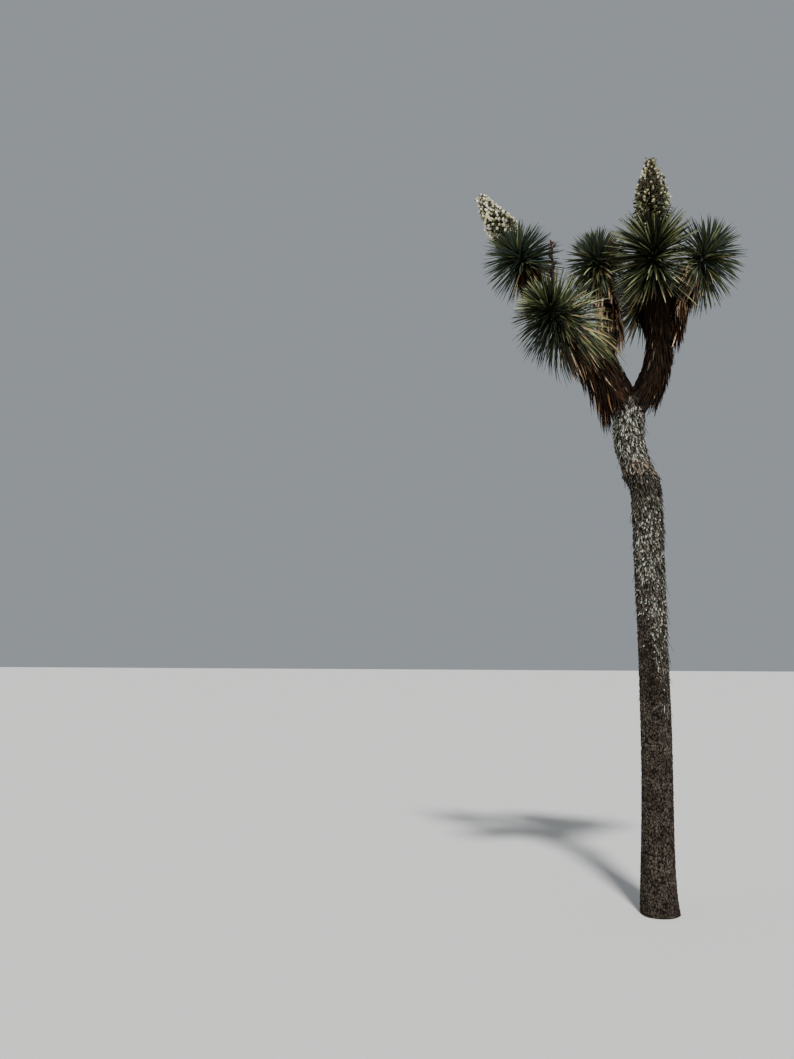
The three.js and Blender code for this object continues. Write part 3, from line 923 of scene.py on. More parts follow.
@dataclass
class Trunk:
    """The trunk: a long bow, a step to the left at the knee, a waist and a root flare."""

    height: float = 3.095
    crown: float = 0.085
    bow: float = 0.017
    bow_back: float = -0.026
    knee_low: float = 2.5
    knee_high: float = 2.9
    knee_step: float = -0.1
    waist: float = 0.092
    foot_swell: float = 0.012
    foot_reach: float = 0.52
    flare: float = 0.28
    flare_reach: float = 0.12
    flare_to_right: float = 0.5
    shaggy_swell: float = 0.002
    shaggy_from: float = 1.25
    shaggy_to: float = 1.75
    ring: float = 0.009
    ring_height: float = 2.67
    ring_reach: float = 0.055
    neck_swell: float = 0.003
    flutes: tuple[tuple[float, int, float], ...] = ((0.035, 3, 0.38), (0.0175, 5, -0.24))
    sides: int = 180
    plate_rings: int = 330
    shag_rings: int = 100
    crown_rings: int = 14
    plate: Triple = (0.015, 0.015, 0.021)
    plate_depth: float = 0.006
    under_stubs: float = 0.007
    stray: float = 0.006
    crack: float = 0.35
    roughness: float = 0.16

    def centre(self, z: Array) -> Array:
        """The middle of the trunk: a sine bow up to the knee, and a smooth step at it.

        Args:
            z: Heights.

        Returns:
            A point at each height.
        """
        bow = self.bow * np.sin(np.pi * np.minimum(z, self.knee_low) / self.knee_low)
        x = bow + self.knee_step * smooth(z, self.knee_low, self.knee_high)
        return np.stack([x, self.bow_back * np.sin(np.pi * z / self.height), z], axis=-1)

    def radius(self, z: Array) -> Array:
        """The mean radius, with the swellings of the foot, the shaggy part, the ring and the neck.

        Args:
            z: Heights.

        Returns:
            The radius at each height.
        """
        foot = self.foot_swell * hill(z, 0, self.foot_reach)
        shaggy = self.shaggy_swell * smooth(z, self.shaggy_from, self.shaggy_to)
        ring = self.ring * hill(z, self.ring_height, self.ring_reach)
        neck = self.neck_swell * smooth(z, self.knee_high, self.height)
        return self.waist + foot + shaggy + ring + neck

    def section(self, z: Array, angle: Array) -> Array:
        """The flutes that wind up the trunk, and the root flare.

        Args:
            z: Heights.
            angle: Angles round the trunk from its right side.

        Returns:
            What the mean radius is multiplied by.
        """
        right = 1 + self.flare_to_right * (np.cos(angle) - 1)
        total = 1 + self.flare * right * np.exp(-z / self.flare_reach)
        for depth, count, wind in self.flutes:
            total = total + depth * np.sin(count * angle + z / wind)
        return total

    def place(self, z: Array, angle: Array, lift: Array) -> Array:
        """Points at heights and angles, lifted off the trunk's surface."""
        reach = self.radius(z) * self.section(z, angle) + lift
        return self.centre(z) + reach[..., None] * level_out(angle)

    def relief(self, points: Array) -> tuple[Array, Array]:
        """The bark's relief and the tone of its plates.

        Noise roughens the relief. The tone is the plate's own, drawn towards light or dark by a wider noise.

        Args:
            points: Places on the trunk's surface.

        Returns:
            The relief, from 0 in a crack between two plates to 1 on a plate, and the tone, from 0 to 1.
        """
        strayed = points + self.stray * lattice_noise(points, 0.03, Seed.PLATE_STRAY)[..., None]
        edge, tone = cells(strayed, self.plate, Seed.PLATES)
        rough = self.roughness * lattice_noise(points, 0.01, Seed.PLATE_ROUGH)
        relief = np.clip(smooth(edge, 0.0, self.crack) * (0.8 + 0.2 * tone) + rough, 0, 1)
        wide = lattice_noise(points, 0.11, Seed.TONE_WIDE)
        narrow = lattice_noise(points, 0.04, Seed.TONE_NARROW)
        return relief, np.clip(0.25 + 0.5 * tone + 0.3 * (wide + 0.6 * narrow), 0, 1)

    def bark(self) -> bpy.types.Object:
        """The bark as a mesh with its relief, from the flat cut to the rounded crown.

        Under the stubs it lies a little deeper, so that they end where the solid does.

        Returns:
            The Blender object.
        """
        low = np.linspace(0, self.shaggy_to, self.plate_rings, endpoint=False)
        high = np.linspace(self.shaggy_to, self.height, self.shag_rings)
        rise = np.linspace(0, np.pi / 2, self.crown_rings + 2)[1:-1]
        z = np.concatenate([low, high, self.height + self.crown * np.sin(rise)])
        shrink = np.concatenate([np.ones(len(low) + len(high)), np.cos(rise)])[:, None]
        level, angle = np.meshgrid(z, full_circle(self.sides), indexing="ij")
        reach = self.radius(level) * self.section(level, angle) * shrink
        out = level_out(angle)
        bare = self.centre(level) + reach[..., None] * out
        relief, tone = self.relief(bare)
        fade = np.minimum(1, level / 0.02) * shrink
        sunk = self.under_stubs * smooth(level, self.shaggy_from, self.shaggy_to) * shrink
        lift = (relief - 0.7) * self.plate_depth * fade - sunk
        mesh = rings_to_mesh(bare + out * lift[..., None])
        carried = {"relief": with_ends(relief), "tone": with_ends(tone)}
        return piece("trunk_bark", mesh, [BARK], ("trunk",), True, carried)


@dataclass
class Limb:
    """A bough or a limb, which leaves its parent in one direction and arrives along its head's axis.

    A bough starts at a height on the trunk's middle line, and a limb at a share of its parent's. The radius
    goes from foot to tip as a power of the share, the taper. The pull is the length of the curve's handles
    as a share of the straight way.
    """

    name: str
    head: str
    leaving: Triple
    foot: float
    tip: float
    height: float = 0.0
    parent: str = ""
    at: float = 0.0
    pull: float = 0.42
    taper: float = 0.8


@dataclass
class Head:
    """A round head of dagger leaves on a leafy stem.

    The stem is bare up to a share of its length. The reach of the leaves is measured from its surface, and
    the oldest leaves stand at that many degrees from the axis. The shades are the weights of the six live
    leaf finishes. The last six fields change them: a painted sheen on bright leaves that point up and aside,
    what all bright ones on the right are multiplied by to paint that side lighter or darker, the withered
    share, how much wear and painted shade the leaves on one side take, painted shade at the heart, and the
    painted-shade share at the lower left.
    """

    name: str
    foot: Triple
    axis: Triple
    length: float
    reach: float
    bare: float
    oldest: float
    leaves: int
    turn: float
    sag: float
    shades: tuple[float, ...]
    pale: float = 0.0
    pale_right: float = 1.0
    withered: float = 0.07
    worn: float = 0.0
    heart: float = 0.0
    shaded: float = 0.0


@dataclass
class Skirt:
    """Dead leaves packed round a limb and hanging from it.

    It starts at a share of the limb. The belly is how much thicker it is underneath, as a share. The shades
    are the weights of the six dead leaf finishes, and the painted-light weight is added at its top.
    """

    name: str
    limb: str
    start: float
    leaves: int
    hang: float
    turn: float
    shades: tuple[float, ...]
    pack: float = 0.014
    belly: float = 0.2
    fresh: float = 0.0


@dataclass
class Panicle:
    """A panicle of blossom on the tip of a head.

    It widens as a quarter of a sine wave that starts a share before its foot and ends at the share where it
    is full. It keeps its radius up to the shoulder, and narrows from there to the neck, which may lie past
    its end, where the tip's share of the radius is left. The shades are the weights of its cream, white and
    green petals, and of its dull ones.
    """

    name: str
    head: str
    axis: Triple
    length: float
    radius: float
    shoulder: float
    neck: float
    tip: float
    flowers: int
    turn: float
    size: float
    shades: tuple[float, ...]
    full_from: float = 0.24
    before: float = 0.06


@dataclass
class FruitStalk:
    """A dry fruit stalk that stands up from a limb."""

    name: str
    limb: str
    at: float
    tip: Triple
    turn: float


LIMBS = [
    Limb("bough_left", "head_front_left", (-0.42, -0.05, 0.9), 0.08, 0.056, height=3.05),
    Limb("bough_right", "head_right", (0.68, 0, 0.73), 0.08, 0.056, height=3.05),
    Limb("limb_outer_left", "head_outer_left", (-0.5, 0.3, 0.8), 0.054, 0.046, parent="bough_left", at=0.72),
    Limb("limb_centre", "head_centre", (0.25, 0.4, 0.88), 0.056, 0.046, parent="bough_left", at=0.57),
    Limb("limb_far_right", "head_far_right", (0.6, 0.1, 0.8), 0.054, 0.046, parent="bough_right", at=0.52),
    Limb("limb_back", "head_back", (0.1, 0.93, 0.35), 0.056, 0.046, parent="bough_right", at=0.52),
]

HEADS = [
    Head(
        "head_right", (0.096, -0.09, 3.82), (-0.05, -0.17, 0.984), length=0.31, reach=0.32, bare=0.4,
        oldest=130, leaves=800, turn=4.2, sag=0.1, shades=(17, 5, 1.2, 3, 0.5, 0), pale=24, pale_right=1.6,
        withered=0.02, heart=60,
    ),
    Head(
        "head_outer_left", (-0.695, 0.037, 4.005), (-0.47, 0.07, 0.88), length=0.25, reach=0.24, bare=0.5,
        oldest=132, leaves=460, turn=0.4, sag=0.04, shades=(0.6, 4, 0.8, 0.1, 9, 0.3),
    ),
    Head(
        "head_front_left", (-0.395, -0.12, 3.57), (-0.53, -0.78, 0.32), length=0.32, reach=0.29, bare=0.24,
        oldest=126, leaves=620, turn=1.9, sag=1.2, shades=(5, 5, 4, 2.4, 0.5, 0.2), pale=32, pale_right=0.15,
        withered=0.12, worn=0.6, shaded=0.96,
    ),
    Head(
        "head_far_right", (0.292, 0.03, 3.905), (0.53, 0.17, 0.83), length=0.27, reach=0.258, bare=0.3,
        oldest=150, leaves=500, turn=5.3, sag=0.55, shades=(2, 5, 2, 0.6, 5, 0.3), pale=2,
    ),
    Head(
        "head_centre", (-0.245, 0.2, 4.015), (-0.18, 0.26, 0.948), length=0.215, reach=0.225, bare=0.26,
        oldest=155, leaves=620, turn=3.1, sag=0.5, shades=(0.5, 5, 4, 0.7, 5, 0.5),
    ),
    Head(
        "head_back", (0.05, 0.29, 3.79), (-0.34, 0.38, 0.86), length=0.21, reach=0.245, bare=0.4,
        oldest=128, leaves=400, turn=0.9, sag=0.05, shades=(6, 4, 1, 0.3, 6, 0.3),
    ),
]

# The skirts' shades also paint light and shade: those that hang in shade lean to the dark finishes, and
# those in the sun to orange and tan.
SKIRTS = [
    Skirt(
        "skirt_left", "bough_left", start=0.22, leaves=1800, hang=0.215, turn=0.2,
        shades=(16, 7, 0.9, 0.5, 0.5, 0.05), pack=0.03, belly=0.75, fresh=20,
    ),
    Skirt(
        "skirt_right", "bough_right", start=0.2, leaves=1700, hang=0.115, turn=1.1,
        shades=(26, 3, 0.1, 0.1, 0.6, 0),
    ),
    Skirt(
        "skirt_outer_left", "limb_outer_left", start=0.26, leaves=800, hang=0.16, turn=2.3,
        shades=(16, 2.5, 0.3, 0.2, 1.5, 0), pack=0.016,
    ),
    Skirt(
        "skirt_centre", "limb_centre", start=0.42, leaves=850, hang=0.17, turn=3.3,
        shades=(8, 3, 3, 2, 0.2, 8), pack=0.02, fresh=30,
    ),
    Skirt(
        "skirt_far_right", "limb_far_right", start=0.34, leaves=800, hang=0.15, turn=4.1,
        shades=(11, 6, 1.6, 0.8, 0.5, 0.4), fresh=26,
    ),
    Skirt(
        "skirt_back", "limb_back", start=0.4, leaves=600, hang=0.13, turn=5.7,
        shades=(12, 5, 0.7, 0.3, 0.7, 0),
    ),
]

PANICLES = [
    Panicle(
        name="panicle_left", head="head_outer_left", axis=(-0.5, 0.06, 0.86), length=0.425, radius=0.118,
        shoulder=0.3, neck=1.15, tip=0.2, flowers=460, turn=0.3, size=0.84, shades=(4, 9, 0.8, 1.6),
    ),
    Panicle(
        name="panicle_right", head="head_right", axis=(0, -0.12, 0.993), length=0.47, radius=0.122,
        shoulder=0.5, neck=1.0, tip=0.22, flowers=560, turn=2.2, size=0.64, shades=(5, 1.2, 2.6, 4),
        full_from=0.42, before=0.294,
    ),
]

FRUIT_STALKS = [
    FruitStalk("fruit_stalk_left", "limb_outer_left", 0.66, (-0.566, -0.02, 4.232), 0.5),
    FruitStalk("fruit_stalk_centre", "limb_centre", 0.7, (-0.164, 0.105, 4.246), 1.7),
]

LIVE_BLADE = Blade(
    0.0125,
    0.0036,
    ((0, 1.6), (0.1, 1.0), (0.3, 1.0), (0.55, 0.84), (0.78, 0.52), (0.93, 0.22)),
    inner_steps=2,
)
DEAD_BLADE = Blade(
    0.0115, 0.0026, ((0, 1.2), (0.25, 1.0), (0.5, 0.85), (0.78, 0.5), (0.93, 0.2)), inner_steps=1
)
STUB_BLADE = Blade(0.0084, 0.0028, ((0, 1.1), (0.45, 1.0), (0.94, 0.6)), inner_steps=1)
PETAL_BLADE = Blade(
    0.0215, 0.003, ((0, 0.45), (0.3, 1.0), (0.62, 1.0), (0.88, 0.6)), Section.CUPPED, inner_steps=2
)
BRACT_BLADE = Blade(0.012, 0.002, ((0, 1.0), (0.5, 0.8), (0.85, 0.35)))
TWIG_BLADE = Blade(0.006, 0.003, ((0, 1.4), (0.5, 1.0), (0.97, 0.9)), Section.ROUND)
POD_BLADE = Blade(0.017, 0.0085, ((0, 0.45), (0.3, 1.0), (0.65, 0.95), (0.9, 0.5)), Section.ROUND)


class Tree:
    """The whole tree: its limbs' middle lines and its heads' stems, which every mass grows from.

    All stems have the same radius in the middle, the same at the tip, and the same gap under the foot. The
    border is how much nearer to its own stem than to any other one a leaf's tip has to stay.
    """

    stem_middle = 0.062
    stem_tip = 0.032
    gap = 0.0004
    border = 0.012

    def __init__(self) -> None:
        """Work out the middle line of each limb and each leafy stem."""
        self.trunk = Trunk()
        self.limbs = {limb.name: limb for limb in LIMBS}
        self.heads = {head.name: head for head in HEADS}
        self.bearers = {limb.head: limb for limb in LIMBS}
        self.paths: dict[str, Path] = {}
        for limb in LIMBS:
            self.paths[limb.name] = self.limb_path(limb)
        self.stems = {head.name: self.stem_path(head) for head in HEADS}

    def limb_path(self, limb: Limb) -> Path:
        """A limb's middle line: a cubic Bezier curve from its parent to its head's foot.

        Args:
            limb: The limb.

        Returns:
            The curve.
        """
        head = self.heads[limb.head]
        if limb.parent:
            start = self.paths[limb.parent].at(limb.at)
        else:
            start = self.trunk.centre(limb.height)
        end = np.array(head.foot)
        pull = np.linalg.norm(end - start) * limb.pull
        return Path.bezier(start, start + unit(limb.leaving) * pull, end - unit(head.axis) * pull, end)

    def limb_radius(self, limb: Limb, share: Array) -> Array:
        """A limb's radius at shares of its length."""
        return mix(limb.foot, limb.tip, np.power(np.clip(share, 0, 1), limb.taper))

    def stem_path(self, head: Head) -> Path:
        """The middle line of a head's leafy stem, straight along the head's axis.

        Args:
            head: The head.

        Returns:
            The line.
        """
        axis = unit(head.axis)
        foot = np.array(head.foot) + axis * self.gap
        return Path(np.linspace(foot, foot + axis * head.length, 25))

    def stem_radius(self, head: Head, share: Array) -> Array:
        """A stem's radius: as wide as its limb at the foot, swollen in the middle and narrow at the tip.

        Args:
            head: The head.
            share: Shares of the stem's length.

        Returns:
            The radius at each share.
        """
        foot = self.bearers[head.name].tip
        swell = self.stem_middle - (foot + self.stem_tip) / 2
        return mix(foot, self.stem_tip, share) + 4 * share * (1 - share) * swell

    def away_from_stem(self, name: str, points: Array) -> Array:
        """How far points are from a stem's middle line, as a straight line between its ends.

        Args:
            name: The head's name.
            points: Places in space, with three numbers on the last axis.

        Returns:
            The distance of each point.
        """
        first, last = self.stems[name].points[0], self.stems[name].points[-1]
        way = last - first
        share = np.clip((points - first) @ way / (way @ way), 0, 1)
        return np.linalg.norm(points - (first + share[..., None] * way), axis=-1)

    def in_own_space(self, name: str, points: Array) -> Array:
        """Whether points are nearer to a head's own stem than to any other head's, by a border's width.

        Args:
            name: The head's name.
            points: Places in space, with three numbers on the last axis.

        Returns:
            One truth value for each point.
        """
        own = self.away_from_stem(name, points) + self.border
        others = [self.away_from_stem(other, points) for other in self.heads if other != name]
        return np.min(others, axis=0) > own

    def clear_of_limbs(self, points: Array, spared: str, margin: float) -> Array:
        """Whether points are clear of every limb but one.

        Args:
            points: Places by blade, by share, by coordinate.
            spared: The limb that the blades grow on.
            margin: The least clear space in metres.

        Returns:
            One truth value for each blade.
        """
        flat = points.reshape(-1, 3)
        clear = np.ones(len(flat), bool)
        for name, path in self.paths.items():
            if name == spared:
                continue
            gap, share = path.distance(flat)
            clear &= gap > self.limb_radius(self.limbs[name], share) + margin
        return clear.reshape(points.shape[:2]).all(axis=1)


@dataclass
class LimbBark:
    """The bark of one limb, which shows where no skirt covers it."""

    tree: Tree
    limb: Limb
    sides: int = 48
    rings: int = 80
    relief_depth: float = 0.004

    def build(self) -> bpy.types.Object:
        """A sleeve round the limb's middle line, lifted by noise.

        Returns:
            The Blender object.
        """
        name = self.limb.name
        share = np.linspace(0, 1, self.rings)
        middle, out = self.tree.paths[name].sleeve(share, self.sides)
        bare = middle + out * self.tree.limb_radius(self.limb, share)[:, None, None]
        coarse = lattice_noise(bare, 0.018, Seed.LIMB_COARSE)
        fine = lattice_noise(bare, 0.008, Seed.LIMB_FINE)
        relief = np.clip(0.5 + 0.5 * coarse + 0.25 * fine, 0, 1)
        mesh = rings_to_mesh(bare + out * ((relief - 0.7) * self.relief_depth)[..., None])
        relief = with_ends(relief)
        # The tone follows the relief, so the low places are darker as painted shade.
        carried = {"relief": relief, "tone": 0.5 * relief}
        return piece(f"bark_{name}", mesh, [BARK], (name,), True, carried)


@dataclass
class TrunkShag:
    """Broken leaf bases that cover the upper trunk, and thin out down to the plated bark.

    Their lower end rises from the right side of the trunk to its left, and a small share stray below it.
    They lift off the trunk by that many degrees on average, and more on the ring. A small share are long.
    """

    tree: Tree
    stubs: int = 15500
    from_height: float = 1.0
    top_height: float = 3.17
    left_end: float = 1.84
    right_end: float = 1.24
    thinning: float = 0.34
    strays: float = 0.03
    length: float = 0.025
    lift: float = 17.0
    ring_lift: float = 0.18
    long_share: float = 0.034
    rooted: float = 0.003
    crown_rooted: float = 0.02

    def build(self) -> None:
        """Make the stubs as two pieces, an upper and a lower one of as many stubs each."""
        z, growth = self.growth()
        middle = np.median(z)
        for name, wanted in (("upper", z >= middle), ("lower", z < middle)):
            mesh = blades(growth.kept(wanted), STUB_BLADE, inner_start=len(STUB_OUTER))
            piece(f"trunk_stubs_{name}", mesh, [*STUB_OUTER, *STUB_SHADED])

    def growth(self) -> tuple[Array, Growth]:
        """Stubs on a golden-angle lattice, each pointing down and a little out.

        Returns:
            The heights of the stubs' roots, and the stubs.
        """
        trunk = self.tree.trunk
        rng = np.random.default_rng(Seed.STUBS)
        count = np.arange(self.stubs)
        share = (count + rng.uniform(-0.5, 0.5, self.stubs)) / self.stubs
        z = mix(self.from_height, self.top_height, share)
        angle = count * GOLDEN_TURN + rng.normal(0, 0.05, self.stubs)
        end = mix(self.left_end, self.right_end, smooth(np.cos(angle), -0.4, 0.6))
        covered = smooth(z, end - self.thinning / 2, end + self.thinning)
        kept = rng.random(self.stubs) < self.strays + (1 - self.strays) * covered
        z, angle = z[kept], angle[kept]
        number = len(z)
        out = level_out(angle)
        body = np.minimum(z, trunk.height)
        down = unit(trunk.centre(body - 0.02) - trunk.centre(body))
        crown = smooth(z, trunk.height, self.top_height)
        deep = -trunk.under_stubs - self.rooted - self.crown_rooted * crown
        roots = trunk.place(body, angle, deep) + UP * (z - body)[:, None]
        ring = hill(z, trunk.ring_height, 0.03)
        lift = np.radians(self.lift) * rng.uniform(0.4, 1.7, number) + self.ring_lift * ring
        swing = rng.normal(0, 0.2, number)
        side = np.cross(out, UP)
        along = unit(down * np.cos(lift)[:, None] + out * np.sin(lift)[:, None] + side * swing[:, None])
        lengths = self.length * rng.uniform(0.6, 1.4, number) * mix(0.75, 1.25, smooth(z, 1.6, 2.9))
        is_long = rng.random(number) < self.long_share
        lengths = np.where(is_long, rng.uniform(0.045, 0.095, number), lengths)
        return z, Growth(
            roots,
            along,
            out,
            lengths,
            -UP * rng.uniform(0.0, 0.2, number)[:, None] + side * rng.normal(0, 0.1, number)[:, None],
            rng.normal(0, 0.4, number),
            np.where(is_long, 0.6, rng.uniform(0.7, 1.25, number)),
            self.shades(roots, z, rng),
        )

    def shades(self, points: Array, z: Array, rng: np.random.Generator) -> Array:
        """Finishes by height: speckled, with a pink band on the ring, a dark one under it, and paler above.

        Args:
            points: The stubs' roots.
            z: Their heights on the golden-angle lattice.
            rng: The random draws.

        Returns:
            The number of each stub's finish.
        """
        ring = self.tree.trunk.ring_height
        patch = 0.5 + 0.5 * lattice_noise(points, 0.12, Seed.STUB_PATCHES)
        above = smooth(z, ring + 0.06, ring + 0.2)
        pale = 0.11 + 0.06 * patch + 0.19 * above - 0.2 * hill(z, ring - 0.06, 0.12)
        pink = 0.04 + 0.9 * hill(z, ring + 0.05, 0.055)
        dark = 0.42 - 0.18 * patch + 0.6 * hill(z, ring - 0.06, 0.06) - 0.1 * above
        brown = 0.36 + 1.2 * hill(z, ring - 0.05, 0.08)
        grey = 0.28 - 0.06 * above
        weights = np.clip(np.stack([dark, brown, grey, pale, pink], axis=1), 0.01, None)
        return dealt_out(weights, rng)


@dataclass
class LeafHead:
    """One head of live leaves on its leafy stem.

    The youngest leaf's angle from the axis and the random spread of all of them are in degrees. A leaf's
    length is a share of the head's reach, from the shortest to the longest, and the young ones are shorter
    by one more share. Leaves are rooted at a share of the stem's radius. Those that would be trimmed to
    the least share or less, or that come within the margin of a limb, are left out.
    """

    tree: Tree
    head: Head
    youngest: float = 12.0
    spread: float = 8.0
    droop: float = 0.16
    highest_root: float = 0.97
    shortest: float = 0.8
    longest: float = 1.04
    young_shorter: float = 0.34
    least_trimmed: float = 0.55
    limb_margin: float = 0.03
    rooted: float = 0.55
    least_sag: float = 0.03
    worn_side: Triple = (0.7, -0.6, -0.4)

    def build(self) -> None:
        """The leaves as one piece, which stands for the node, and the stem as another."""
        growth = self.growth()
        finishes = [*LIVE_OUTER, *LIVE_SHADED, LEAF_TIP]
        leaves = blades(growth, LIVE_BLADE, inner_start=len(LIVE_OUTER), tip_finish=len(finishes) - 1)
        piece(f"leaves_{self.head.name}", leaves, finishes, (self.head.name,))
        piece(f"stem_{self.head.name}", self.stem(), [LEAF_STEM], is_smooth=True)

    def growth(self) -> Growth:
        """Leaves spread evenly over a ball by the golden angle, from the oldest, bent back, to the youngest.

        A leaf is cut short where its tip would pass into another head's space. It is skipped where that
        leaves too little of it, or where it would run into a limb or a panicle.

        Returns:
            The leaves that are left.
        """
        head = self.head
        rng = draws(head.turn)
        count = np.arange(head.leaves)
        youth = (count + 0.5) / head.leaves
        axis = np.broadcast_to(unit(head.axis), (head.leaves, 3))
        level = mix(math.cos(math.radians(head.oldest)), math.cos(math.radians(self.youngest)), youth)
        angle = np.arccos(level) + np.radians(self.spread) * rng.uniform(-1, 1, head.leaves)
        along = swung(axis, angle, count * GOLDEN_TURN + head.turn)
        fall = self.droop * (1 - youth) * (1 - np.abs(along[:, 2]))
        along = unit(along - UP * fall[:, None])
        share = mix(head.bare, self.highest_root, youth)
        roots = self.tree.stems[head.name].at(share)
        skin = self.tree.stem_radius(head, share)
        size = rng.uniform(self.shortest, self.longest, head.leaves)
        reach = head.reach * size * (1 - self.young_shorter * youth**2)
        reach = reach * (1 - head.worn * self.wear(youth, along))
        part = self.trimmed(roots, along, skin, reach)
        start = skin * self.rooted
        upper = unit(np.cross(np.cross(along, axis), along))
        sag = (self.least_sag + head.sag * (1 - youth) ** 1.5) * rng.uniform(0.2, 1.6, head.leaves)
        aside = np.cross(along, upper) * rng.normal(0, 0.03, head.leaves)[:, None]
        growth = Growth(
            roots + along * start[:, None],
            along,
            upper,
            skin + reach * part - start,
            aside - upper * (0.5 * sag)[:, None] - UP * (0.5 * sag * (1 - np.abs(along[:, 2])))[:, None],
            rng.normal(0, 0.35, head.leaves),
            rng.uniform(0.8, 1.2, head.leaves),
            dealt_out(self.shades(youth, along), rng),
        )
        limb = self.tree.bearers[head.name].name
        outer = growth.sampled(np.array([0.4, 0.6, 0.8, 1.0]))
        wanted = (part > self.least_trimmed) & self.tree.clear_of_limbs(outer, limb, self.limb_margin)
        for panicle in PANICLES:
            wanted &= PanicleBlossom(self.tree, panicle).is_clear(outer)
        return growth.kept(wanted)

    def trimmed(self, roots: Array, along: Array, skin: Array, reach: Array) -> Array:
        """How much of each leaf's reach stays inside its head's own space.

        Args:
            roots: The places on the stem's middle line that the leaves grow from.
            along: Their directions.
            skin: The stem's radius there.
            reach: How far the leaves reach beyond it.

        Returns:
            Shares of the reach in twentieths, down to one below the least that a leaf may keep.
        """
        step = 0.05
        part = np.ones(len(roots))
        for share in np.arange(1, self.least_trimmed - 0.01, -step):
            tips = roots + along * (skin + reach * part)[:, None]
            is_inside = self.tree.in_own_space(self.head.name, tips)
            part = np.where(is_inside, part, np.minimum(part, share - step))
        return part

    def wear(self, youth: Array, along: Array) -> Array:
        """How much wear and painted shade leaves take, from 0 to 1: all but the oldest on that side take
        some.
        """
        return smooth(along @ unit(self.worn_side), 0.35, 0.75) * smooth(youth, 0.14, 0.26)

    def shades(self, youth: Array, along: Array) -> Array:
        """Weights of the finishes.

        The very oldest leaves are withered. Those that wear has reached are dark, as painted shade, or,
        among the older half, withered. More are bright among the older half, and, as a painted sheen, among
        those that point up and to a side. Those at the heart of the near and the far side, and those at the
        lower left, are dark as painted shade.

        Args:
            youth: Each leaf's place from the oldest, 0, to the youngest, 1.
            along: The leaves' directions.

        Returns:
            One row of weights for each leaf.
        """
        head = self.head
        x, z = along[:, 0], along[:, 2]
        weights = np.tile(np.array(head.shades, float), (len(youth), 1))
        weights[:, WITHERED] += 20 * smooth(-youth, -head.withered, 0.0)
        worn = head.worn * self.wear(youth, along)
        weights[:, WITHERED] += 16 * worn * smooth(-youth, -0.6, -0.4)
        # Painted shade: leaves on the side of wear take the dark finish, and fewer take the bright one.
        weights[:, DEEP] += 60 * worn
        weights[:, BRIGHT] *= (0.5 + 1.6 * smooth(-youth, -0.6, -0.25)) * (1 - 1.3 * worn)
        # Painted sheen: leaves that point up and to a side take the bright finish, and the right side is
        # painted lighter or darker.
        to_a_side = smooth(np.abs(x), 0.2, 0.5)
        upward = smooth(z, 0.1, 0.5) * smooth(-youth, -0.92, -0.8)
        weights[:, BRIGHT] += head.pale * upward * to_a_side
        weights[:, BRIGHT] *= np.where(x > 0, head.pale_right, 1)
        # Painted shade at the heart of the head.
        weights[:, DEEP] += head.heart * smooth(z, -0.3, 0.0) * (1 - to_a_side)
        # Painted shade at the lower left: the other finishes give way to the dark one.
        shaded = head.shaded * smooth(-z, -0.15, 0.15) * smooth(-x, -0.3, 0.05)
        weights[:, DEEP + 1:] *= (1 - shaded)[:, None]
        return weights

    def stem(self) -> Mesh:
        """The leafy stem: a swelling sleeve with a rounded tip, a little thinner than the leaves' skin.

        Returns:
            The closed sleeve.
        """
        share = np.linspace(0, 1, 24)
        middle, out = self.tree.stems[self.head.name].sleeve(share, 24)
        rounding = np.sqrt(np.clip(1 - share**14, 0.02, 1))
        radius = (self.tree.stem_radius(self.head, share) * rounding * 0.9)[:, None]
        bumps = 1 + 0.08 * lattice_noise(middle + out * radius[..., None], 0.02, Seed.STEM)
        return rings_to_mesh(middle + out * (radius * bumps)[..., None])


